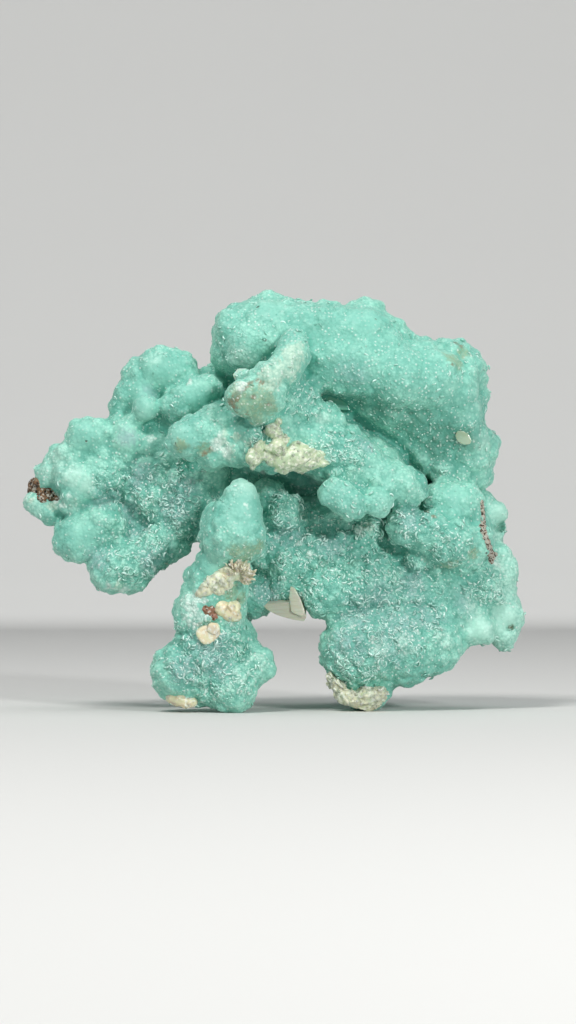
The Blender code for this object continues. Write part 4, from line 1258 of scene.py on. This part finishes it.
class SPECIMEN_OT_druse(bpy.types.Operator):
    """Sets tiny crystals and curved slivers all over the mass"""

    bl_idname = "specimen.druse"
    bl_label = "Set the druse crystals"

    def execute(self, context):
        settings, druse = context.scene.specimen_mass, context.scene.specimen_druse
        skin, marks, zones = SHARED["skin"], SHARED["marks"], SHARED["zones"]
        draw = np.random.default_rng(23)
        finish = druse_finish(settings, druse)
        stains = {name: places for name, places in marks.items() if name != "pit"}

        def thickness(points):
            thick = 0.6 + 1.2 * share(nearness(points, zones["rich"]), 0.35, 0.65)
            thick *= 1 - 0.85 * share(nearness(points, zones["smooth"]), 0.4, 0.6)
            return np.where(points[:, 2] < 0.4 * MM, 0.0, thick)

        def set_piece(template, turns, places, clear, name):
            mesh = repeated(template, turns, places, name)
            each = len(template.vertices)
            mark_up(mesh, np.repeat(places, each, axis=0), stains)
            store(mesh, "clear", np.repeat(clear, each))
            place_piece(mesh, name, finish)

        count = druse.crystals
        thick = thickness(corners_of(skin))
        places, normals = scattered_points(skin, count, draw, thick)
        sizes = druse.smallest + (druse.largest - druse.smallest) * draw.random(count) ** 2.4
        speckled = share(nearness(places, zones["speckled"]), 0.3, 0.6)
        crystalline = share(nearness(places, zones["rich"]), 0.35, 0.65)
        # The bright crystals are whitened below, most in crystalline and speckled zones: partly clear
        # crystals, partly painted glints
        bright = draw.random(count) < 0.015 + 0.075 * crystalline + 0.25 * speckled
        sizes[bright] = druse.largest * (0.45 + 0.55 * draw.random(bright.sum()))
        turns = turned_to(normals, draw, 0.4) * sizes[:, None, None]
        sunk = places - normals * (0.35 * sizes)[:, None]
        shining = 0.25 + 0.60 * np.maximum(crystalline, speckled)
        clear = np.clip(np.where(bright, shining, 0.10) + draw.normal(0, 0.10, count), 0, 1)
        crystal = rhomb_template()
        half = count // 2
        set_piece(crystal, turns[:half], sunk[:half], clear[:half], "druse_first")
        set_piece(crystal, turns[half:], sunk[half:], clear[half:], "druse_second")

        count = druse.slivers
        weight = thick**2.5 * clumps(corners_of(skin), druse.clump)
        places, normals = scattered_points(skin, count, draw, weight)
        sizes = druse.sliver * (0.35 + 0.85 * draw.random(count))
        turns = turned_to(normals, draw, 0.18) * sizes[:, None, None]
        # Slivers are whitened by chance: partly clear crystal, partly painted glints
        clear = 0.05 + 0.95 * draw.random(count) ** 1.3
        sliver = sliver_template()
        half = count // 2
        places = places - normals * (0.06 * sizes)[:, None]
        set_piece(sliver, turns[:half], places[:half], clear[:half], "slivers_first")
        set_piece(sliver, turns[half:], places[half:], clear[half:], "slivers_second")
        return {"FINISHED"}


def clumps(points, size):
    """Near 0 between clumps and near 1 in them."""
    return np.array([share(noise.noise(Vector(point) / size), -0.25, 0.45) for point in points]) ** 1.5


def rhomb_template():
    """A rhomb standing on a corner, as smithsonite and calcite crystals do."""
    shape = bmesh.new()
    bmesh.ops.create_cube(shape, size=1.25)
    upright = Vector((1, 1, 1)).rotation_difference(Vector((0, 0, 1))).to_matrix()
    bmesh.ops.rotate(shape, verts=shape.verts, matrix=upright)
    bmesh.ops.scale(shape, verts=shape.verts, vec=(1.0, 1.0, 0.8))
    return mesh_of(shape, "rhomb")


def sliver_template():
    """A thin curved sliver: part of a ring of radius 1, thinner at its ends."""
    shape = bmesh.new()
    steps = 4
    bend = 1.7
    rings = []
    for step in range(steps + 1):
        along = 2 * step / steps - 1
        thick = 0.08 + 0.23 * (1 - along * along)
        out = Vector((math.cos(along * bend / 2), math.sin(along * bend / 2), 0))
        ring = [out * (1 + thick), out + Vector((0, 0, 1.2 * thick)), out * (1 - thick)]
        rings.append([shape.verts.new(point) for point in ring])
    for near, far in zip(rings, rings[1:]):
        for side in range(3):
            after = (side + 1) % 3
            shape.faces.new([near[side], near[after], far[after], far[side]])
    shape.faces.new(rings[0])
    shape.faces.new(rings[-1])
    bmesh.ops.recalc_face_normals(shape, faces=shape.faces)
    return mesh_of(shape, "sliver")


def bristle_template():
    """A thin crystal that stands along Z from its root, with a slanted tip."""
    shape = bmesh.new()
    bmesh.ops.create_cone(
        shape,
        segments=5,
        radius1=0.24,
        radius2=0.16,
        depth=1.0,
        cap_ends=True,
        matrix=Matrix.Translation((0, 0, 0.5)),
    )
    for vert in shape.verts:
        if vert.co.z > 0.5:
            vert.co.z += 0.8 * vert.co.x
    return mesh_of(shape, "bristle")


def blocks(lumps, draw, name):
    """Angular blocks heaped along each lump, laid along it where it is long."""
    places, turns = [], []
    for start, end, start_radius, end_radius in lumps:
        start, end = np.array(start), np.array(end)
        far = np.linalg.norm(end - start)
        way = (end - start) / far if far > 0 else draw.normal(0, 1, 3)
        for _ in range(9 + int(7 * far)):
            along = draw.random()
            radius = start_radius + (end_radius - start_radius) * along
            size = radius * (0.48 + 0.30 * draw.random())
            turn = turned_to(np.array([way / np.linalg.norm(way)]), draw, 0.22)[0]
            places.append(start + (end - start) * along + draw.normal(0, 0.36 * radius, 3))
            turns.append(turn * (size, 0.75 * size, size * (1 + min(far, 2.4) * 0.5)))
    return repeated(rhomb_template(), np.array(turns) * MM, np.array(places) * MM, name)


def crystal_lump(lumps, settings, draw, grains, name, scale=1.0):
    """A crust of calcite: blocks grown together, with a few facets and small rhombs set on them."""
    core = [(start, end, 0.95 * first, 0.95 * last) for start, end, first, last in lumps]
    body = fused(joined([lobes_mesh(core, name), blocks(lumps, draw, name)], name), settings.voxel, 1, 0.4)
    places, normals = scattered_points(body, grains, draw)
    sizes = settings.facet * scale * (0.16 + 0.34 * draw.random(grains) ** 2)
    turns = turned_to(normals, draw, 0.5) * sizes[:, None, None]
    rhombs = repeated(rhomb_template(), turns, places - normals * (0.3 * sizes)[:, None], "rhombs")
    return joined([body, rhombs], name)


def bristles(rows, length, draw, name):
    """Slivers that stand out like the hairs of a brush from each row's root."""
    roots, ways = [], []
    for root, way, count in rows:
        roots += [np.array(root)] * count
        ways += [np.array(way) / np.linalg.norm(way)] * count
    count = len(roots)
    places = (np.array(roots) + draw.normal(0, 0.34, (count, 3))) * MM
    turns = turned_to(np.array(ways), draw, 0.28)
    turns *= (length * (0.55 + 0.6 * draw.random(count)))[:, None, None]
    return repeated(bristle_template(), turns, places, name)


def slab(outline, front, back, lean, name, edge=0.12):
    """A crystal plate: its outline as seen, from front to back, sheared up by the lean towards its back."""
    shape = bmesh.new()
    middle = sum(up for _, up in outline) / len(outline)
    for depth, rise, size in ((front, 0.0, 1.0), (back, lean, BACK_OF_SLAB)):
        for across, up in outline:
            height = middle + (up - middle) * size + rise
            shape.verts.new(Vector((across, depth, height)) * MM)
    bmesh.ops.convex_hull(shape, input=shape.verts)
    bmesh.ops.dissolve_limit(shape, angle_limit=0.05, verts=shape.verts, edges=shape.edges)
    bmesh.ops.bevel(
        shape,
        geom=shape.edges,
        offset=edge * MM,
        offset_type="OFFSET",
        segments=3,
        profile=0.5,
        affect="EDGES",
        material=-1,
    )
    bmesh.ops.recalc_face_normals(shape, faces=shape.faces)
    return mesh_of(shape, name)


def calcite_finish(name, body, other, bright, depth):
    """Cloudy calcite with a sugary grain. depth is how far light goes into it."""
    recipe = Recipe(
        name,
        0.32,
        IOR=1.58,
        Subsurface_Weight=0.5,
        Subsurface_Radius=(1.0, 0.95, 0.75),
        Subsurface_Scale=depth * MM,
    )
    where = recipe.place()
    cloud = recipe.noise(where, 1.1, 2, 0.6)
    sugar = recipe.cells(where, 0.30)
    colour = recipe.mix(recipe.step(cloud, 0.38, 0.62), body, other)
    colour = recipe.mix(recipe.step(recipe.pick(sugar), 0.62, 0.95, 0, 0.75), colour, bright)
    recipe.set("Base Color", colour)
    recipe.set("Normal", recipe.bump(cloud * 0.6 - sugar * 0.7, 0.05 * MM, 0.6))
    return recipe.finish


def blade_finish(name, body, bright, clear, grain, streaks):
    """Clear-looking calcite with fine lines along its grain."""
    recipe = Recipe(
        name, 0.18, IOR=1.6, Transmission_Weight=clear, Subsurface_Weight=0.25, Subsurface_Scale=0.6 * MM
    )
    where = recipe.place()
    lines = recipe.noise(recipe.stretched(where, grain), 1.0, 2, 0.6)
    colour = recipe.mix(recipe.step(lines, 0.42, 0.62, 0, streaks), body, bright)
    recipe.set("Base Color", colour)
    recipe.set("Normal", recipe.bump(lines, 0.08 * MM, 0.7))
    return recipe.finish


class SPECIMEN_OT_calcite(bpy.types.Operator):
    """Grows the cream calcite on the mass"""

    bl_idname = "specimen.calcite"
    bl_label = "Grow the calcite"

    def execute(self, context):
        settings = context.scene.specimen_calcite
        draw = np.random.default_rng(31)
        green = calcite_finish("greenish calcite", settings.green, settings.milky, settings.white, 1.6)
        cream = calcite_finish("cream calcite", settings.cream, settings.peach, settings.white, 1.4)
        peach = calcite_finish("peach calcite", settings.peach, settings.cream, settings.white, 1.2)
        crust = crystal_lump(CRUST_CENTRE_LUMPS, settings, draw, 260, "crust_centre")
        place_piece(crust, "crust_centre", green, ["calcite_crust_centre"])
        yellow = calcite_finish("yellowish calcite", settings.yellow, settings.milky, settings.white, 2.0)
        cluster = crystal_lump(CLUSTER_LEG_LUMPS, settings, draw, 260, "cluster_leg", 0.9)
        place_piece(cluster, "cluster_leg_lumps", yellow, ["calcite_cluster_leg"])
        fan = bristles(FAN_BRISTLES, 0.85 * MM, draw, "fan")
        place_piece(fan, "cluster_leg_fan", peach, ["calcite_cluster_leg"])
        patch = crystal_lump(PATCH_LEG_LUMPS, settings, draw, 70, "patch_leg", 0.8)
        place_piece(patch, "patch_leg", cream, ["calcite_patch_leg"])
        tooth = [
            slab(TOOTH_OUTLINE, -16.6, -14.4, 0.5, "tooth", 0.38),
            slab(TOOTH_STEP_OUTLINE, -16.8, -14.6, 0.2, "step", 0.30),
        ]
        place_piece(joined(tooth, "tooth_leg"), "tooth_leg", cream, ["calcite_tooth_leg"])
        foot = crystal_lump(LEFT_FOOT_LUMPS, settings, draw, 90, "foot_crust", 0.8)
        rest_on_floor(foot)
        place_piece(foot, "left_foot_crust", peach, ["calcite_crust_left_foot"])
        tuft = crystal_lump(TUFT_LUMPS, settings, draw, 260, "tuft", 1.1)
        tuft = joined([tuft, bristles(TUFT_BRISTLES, 1.3 * MM, draw, "strands")], "tuft")
        rest_on_floor(tuft)
        place_piece(tuft, "right_foot_tuft", yellow, ["calcite_tuft_right_foot"])
        return {"FINISHED"}


class SPECIMEN_OT_plates(bpy.types.Operator):
    """Sets the blades and plates"""

    bl_idname = "specimen.plates"
    bl_label = "Set the blades and plates"

    def execute(self, context):
        settings, mass = context.scene.specimen_calcite, context.scene.specimen_mass
        tree = sight_tree(SHARED["skin"])
        spike_front = seen_at(tree, *SPIKE_MIDDLE).y / MM - 1.1
        leaf = joined(
            [
                slab(LEAF_OUTLINE, -8.9, -5.6, 1.6, "leaf"),
                slab(SPIKE_OUTLINE, spike_front, spike_front + 1.4, 0.5, "spike"),
            ],
            "blades",
        )
        finish = blade_finish("leaf calcite", settings.leaf, settings.white, 0.45, (0.35, 1.0, 5.0), 0.6)
        place_piece(leaf, "arch_blades", finish, ["calcite_blades_arch"])
        for name, node, outline, tone, thick, proud, level in (
            ("upper_plate", "calcite_plate_upper", PLATE_OUTLINE, settings.tan, 0.8, 0.15, np.min),
            (
                "crevice_plate", "calcite_plate_crevice", CLEAVAGE_OUTLINE,
                # The crevice plate's colour is partly painted shade
                settings.shaded_cleavage, 1.4, 0.6, np.max,
            ),
        ):
            front = level([seen_at(tree, *corner).y for corner in outline]) / MM - proud
            plate = slab(outline, front, front + thick, 0.1, name)
            finish = blade_finish(name.replace("_", " "), tone, mass.frost, 0.0, (0.6, 1.0, 1.4), 0.12)
            place_piece(plate, name, finish, [node])
        crystal = slab(FINGER_CRYSTAL_OUTLINE, -12.6, -11.2, 0.2, "finger_crystal")
        finish = blade_finish("pale crystal", mass.pale, mass.frost, 0.2, (1.0, 1.0, 1.0), 0.45)
        place_piece(crystal, "finger_crystal", finish)
        return {"FINISHED"}


# Gossan that shows at the breaks: places in the picture, radius, and how far each lump stands out
CORE_LUMPS = [
    (-33.2, 31.2, 1.1, 0.25), (-32.4, 30.6, 1.5, 0.30), (-31.6, 29.8, 1.5, 0.30),
    (-30.6, 29.8, 1.2, 0.22), (-33.4, 30.4, 1.0, 0.25),
    (-31.0, 30.6, 1.1, 0.22), (-32.2, 29.4, 1.1, 0.25), (-32.8, 31.6, 0.8, 0.20),
    (-30.0, 29.2, 0.6, 0.16),
]
SEAM_LUMPS = [
    (29.2, 28.8, 0.42, 0.22), (29.2, 28.1, 0.50, 0.25), (29.3, 27.4, 0.52, 0.25),
    (29.3, 26.7, 0.58, 0.28), (29.3, 26.0, 0.60, 0.28),
    (29.4, 25.3, 0.60, 0.28), (29.5, 24.6, 0.60, 0.28), (29.7, 23.9, 0.58, 0.26),
    (30.0, 23.2, 0.58, 0.26), (30.2, 22.5, 0.60, 0.26),
    (30.4, 21.8, 0.65, 0.26), (30.6, 21.1, 0.75, 0.28), (30.4, 20.5, 0.65, 0.24),
    (31.1, 21.5, 0.55, 0.22),
]
SPOT_LUMPS = [
    (-8.9, 13.4, 0.95, 0.34), (-8.3, 12.9, 0.75, 0.28), (-9.4, 13.9, 0.65, 0.26),
    (-8.5, 13.9, 0.6, 0.24),
]


def seated(tree, rows):
    """Lobes that stand out of the skin by so much where the viewer sees them."""
    lobes = []
    for across, up, radius, proud in rows:
        hit = seen_at(tree, across, up)
        if hit is not None:
            lobes.append(bead(hit.x / MM, hit.y / MM + radius - proud, hit.z / MM, radius))
    return lobes


def gossan_finish(name, brown, dark, grey, paleness):
    recipe = Recipe(name, 0.7)
    where = recipe.place()
    grain = recipe.cells(where, 0.24)
    cloud = recipe.noise(where, 0.9, 2, 0.65)
    colour = recipe.mix(recipe.step(cloud, 0.60, 0.36), brown, dark)
    tone = recipe.pick(grain)
    colour = recipe.mix(recipe.step(tone, 0.80 - paleness, 1.0 - paleness, 0, 0.85), colour, grey)
    colour = recipe.mix(recipe.step(tone, 0.20, 0.10, 0, 0.85), colour, dark)
    # Painted shade: the sunk pores are darkened
    pore_shade = tuple(0.4 * part for part in dark)
    colour = recipe.mix(recipe.step(recipe.attribute("pore"), 0.2, 0.8), colour, pore_shade)
    recipe.set("Base Color", colour)
    recipe.set("Roughness", recipe.step(tone, 0.7, 1.0, 0.75, 0.3))
    recipe.set("Normal", recipe.bump(cloud - grain * 0.8, 0.10 * MM, 0.9))
    return recipe.finish


def porous(mesh, spacing, depth, draw):
    """Sinks small round pores into a lump and stores where they are."""
    seeds = even_points(mesh, spacing, draw)[0]
    corners, normals = corners_of(mesh), normals_of(mesh)
    near = nearest(corners, seeds, 1)[:, 0]
    wide = spacing * (0.16 + 0.30 * draw.random(len(seeds)) ** 1.5)
    away = np.linalg.norm(corners - seeds[near], axis=1)
    sunk = share(away, 1.15 * wide[near], 0.55 * wide[near])
    rough = draw.normal(0, 0.022 * MM, len(corners))
    move_corners(mesh, corners + normals * (rough - depth * sunk)[:, None])
    store(mesh, "pore", sunk)


class SPECIMEN_OT_gossan(bpy.types.Operator):
    """Sets the brown gossan at the breaks"""

    bl_idname = "specimen.gossan"
    bl_label = "Set the gossan"

    def execute(self, context):
        settings = context.scene.specimen_gossan
        draw = np.random.default_rng(47)
        tree = sight_tree(SHARED["skin"])
        rust = gossan_finish("rusty gossan", settings.brown, settings.dark, settings.grey, 0.15)
        speckled = gossan_finish("speckled gossan", settings.brown, settings.dark, settings.grey, 0.60)
        reddish = gossan_finish("reddish gossan", settings.rust, settings.brown, settings.grey, 0.12)
        for name, node, rows, finish, spacing, depth in (
            ("left_core", "gossan_core_left", CORE_LUMPS, rust, 0.7, 0.22),
            ("right_seam", "gossan_seam_right", SEAM_LUMPS, speckled, 0.4, 0.10),
            ("leg_spot", "gossan_spot_leg", SPOT_LUMPS, reddish, 0.45, 0.08),
        ):
            lumps = seated(tree, rows)
            mesh = fused(lobes_mesh(lumps, name), settings.voxel, 1, 0.4)
            porous(mesh, spacing * MM, depth * MM, draw)
            mesh.shade_smooth()
            place_piece(mesh, name, finish, [node])
        return {"FINISHED"}


class SPECIMEN_OT_stage(bpy.types.Operator):
    """Lays the floor and sets the lights and the camera"""

    bl_idname = "specimen.stage"
    bl_label = "Set the stage"

    def execute(self, context):
        settings = context.scene.specimen_stage
        scene = context.scene
        scene.view_settings.view_transform = "Standard"
        floor = bpy.data.objects.new("floor", floor_mesh(settings))
        scene.collection.objects.link(floor)
        recipe = Recipe("pale floor", 0.9)
        recipe.set("Base Color", settings.floor)
        floor.data.materials.append(recipe.finish)
        world = bpy.data.worlds.new("soft room")
        world.use_nodes = True
        world.node_tree.nodes["Background"].inputs["Color"].default_value = (0.95, 0.98, 1.0, 1)
        world.node_tree.nodes["Background"].inputs["Strength"].default_value = 0.21
        scene.world = world
        aim = Vector((0, 0, 28)) * MM
        behind = Vector((0, 1150, 620)) * MM
        lamps = [
            ("key", (-210, -350, 640), aim, 200, 2.95, (1.0, 0.99, 0.97)),
            ("top", (80, 60, 640), aim, 420, 1.0, (0.97, 0.99, 1.0)),
            ("spark", (300, -480, 240), aim, 80, 1.75, (1.0, 1.0, 1.0)),
            ("backdrop", (0, 330, 520), behind, 500, 4.6, (1.0, 1.0, 1.0)),
        ]
        for name, place, target, size, power, colour in lamps:
            light = bpy.data.lights.new(name, "AREA")
            light.size = size * MM
            light.energy = power
            light.color = colour
            lamp = bpy.data.objects.new(name, light)
            lamp.location = Vector(place) * MM
            lamp.rotation_euler = (target - lamp.location).to_track_quat("-Z", "Y").to_euler()
            lamp.visible_camera = False
            scene.collection.objects.link(lamp)
        lens = bpy.data.cameras.new("camera")
        lens.sensor_width = SENSOR_WIDTH
        lens.lens = SENSOR_WIDTH * VIEW_DISTANCE / (PICTURE_HEIGHT * MM_PER_PIXEL)
        camera = bpy.data.objects.new("camera", lens)
        camera.location = (Vector(VIEW_AIM) + Vector((0, -VIEW_DISTANCE, 0))) * MM
        camera.rotation_euler = (math.pi / 2, 0, 0)
        scene.collection.objects.link(camera)
        scene.camera = camera
        return {"FINISHED"}


def floor_mesh(settings):
    """A round floor that turns up into a low rim."""
    shape = bmesh.new()
    profile = [Vector((0, 0, 0)), Vector((settings.floor_radius, 0, 0))]
    turns = 10
    for step in range(1, turns + 1):
        angle = step / turns * math.pi / 2
        across = settings.floor_radius + settings.rim_radius * math.sin(angle)
        profile.append(Vector((across, 0, settings.rim_radius * (1 - math.cos(angle)))))
    profile.append(Vector((settings.floor_radius + settings.rim_radius, 0, settings.rim_height)))
    verts = [shape.verts.new(point) for point in profile]
    edges = [shape.edges.new(pair) for pair in zip(verts, verts[1:])]
    bmesh.ops.spin(
        shape,
        geom=verts + edges,
        cent=(0, 0, 0),
        axis=(0, 0, 1),
        dvec=(0, 0, 0),
        angle=2 * math.pi,
        steps=96,
        use_merge=True,
    )
    bmesh.ops.remove_doubles(shape, verts=shape.verts, dist=0.01 * MM)
    bmesh.ops.recalc_face_normals(shape, faces=shape.faces)
    if sum(face.normal.z * face.calc_area() for face in shape.faces) < 0:
        bmesh.ops.reverse_faces(shape, faces=shape.faces)
    mesh = mesh_of(shape, "floor")
    mesh.shade_smooth()
    return mesh


class SPECIMEN_PT_panel(bpy.types.Panel):
    """Lists the steps that build the specimen"""

    bl_idname = "SPECIMEN_PT_panel"
    bl_label = "Smithsonite specimen"
    bl_space_type = "VIEW_3D"
    bl_region_type = "UI"
    bl_category = "Smithsonite"

    def draw(self, context):
        for step in STEPS:
            self.layout.operator(step.bl_idname)


STEPS = [
    SPECIMEN_OT_stage,
    SPECIMEN_OT_mass,
    SPECIMEN_OT_druse,
    SPECIMEN_OT_calcite,
    SPECIMEN_OT_plates,
    SPECIMEN_OT_gossan,
]
GROUPS = {
    "specimen_mass": MassSettings,
    "specimen_druse": DruseSettings,
    "specimen_calcite": CalciteSettings,
    "specimen_gossan": GossanSettings,
    "specimen_stage": StageSettings,
}


def register():
    for kind in [*GROUPS.values(), *STEPS, SPECIMEN_PT_panel]:
        bpy.utils.register_class(kind)
    for name, group in GROUPS.items():
        setattr(bpy.types.Scene, name, PointerProperty(type=group))


def unregister():
    for name in GROUPS:
        delattr(bpy.types.Scene, name)
    for kind in reversed([*GROUPS.values(), *STEPS, SPECIMEN_PT_panel]):
        bpy.utils.unregister_class(kind)


def main():
    register()
    bpy.ops.specimen.stage()
    bpy.ops.specimen.mass()
    bpy.ops.specimen.druse()
    bpy.ops.specimen.calcite()
    bpy.ops.specimen.plates()
    bpy.ops.specimen.gossan()


if __name__ == "__main__":
    main()
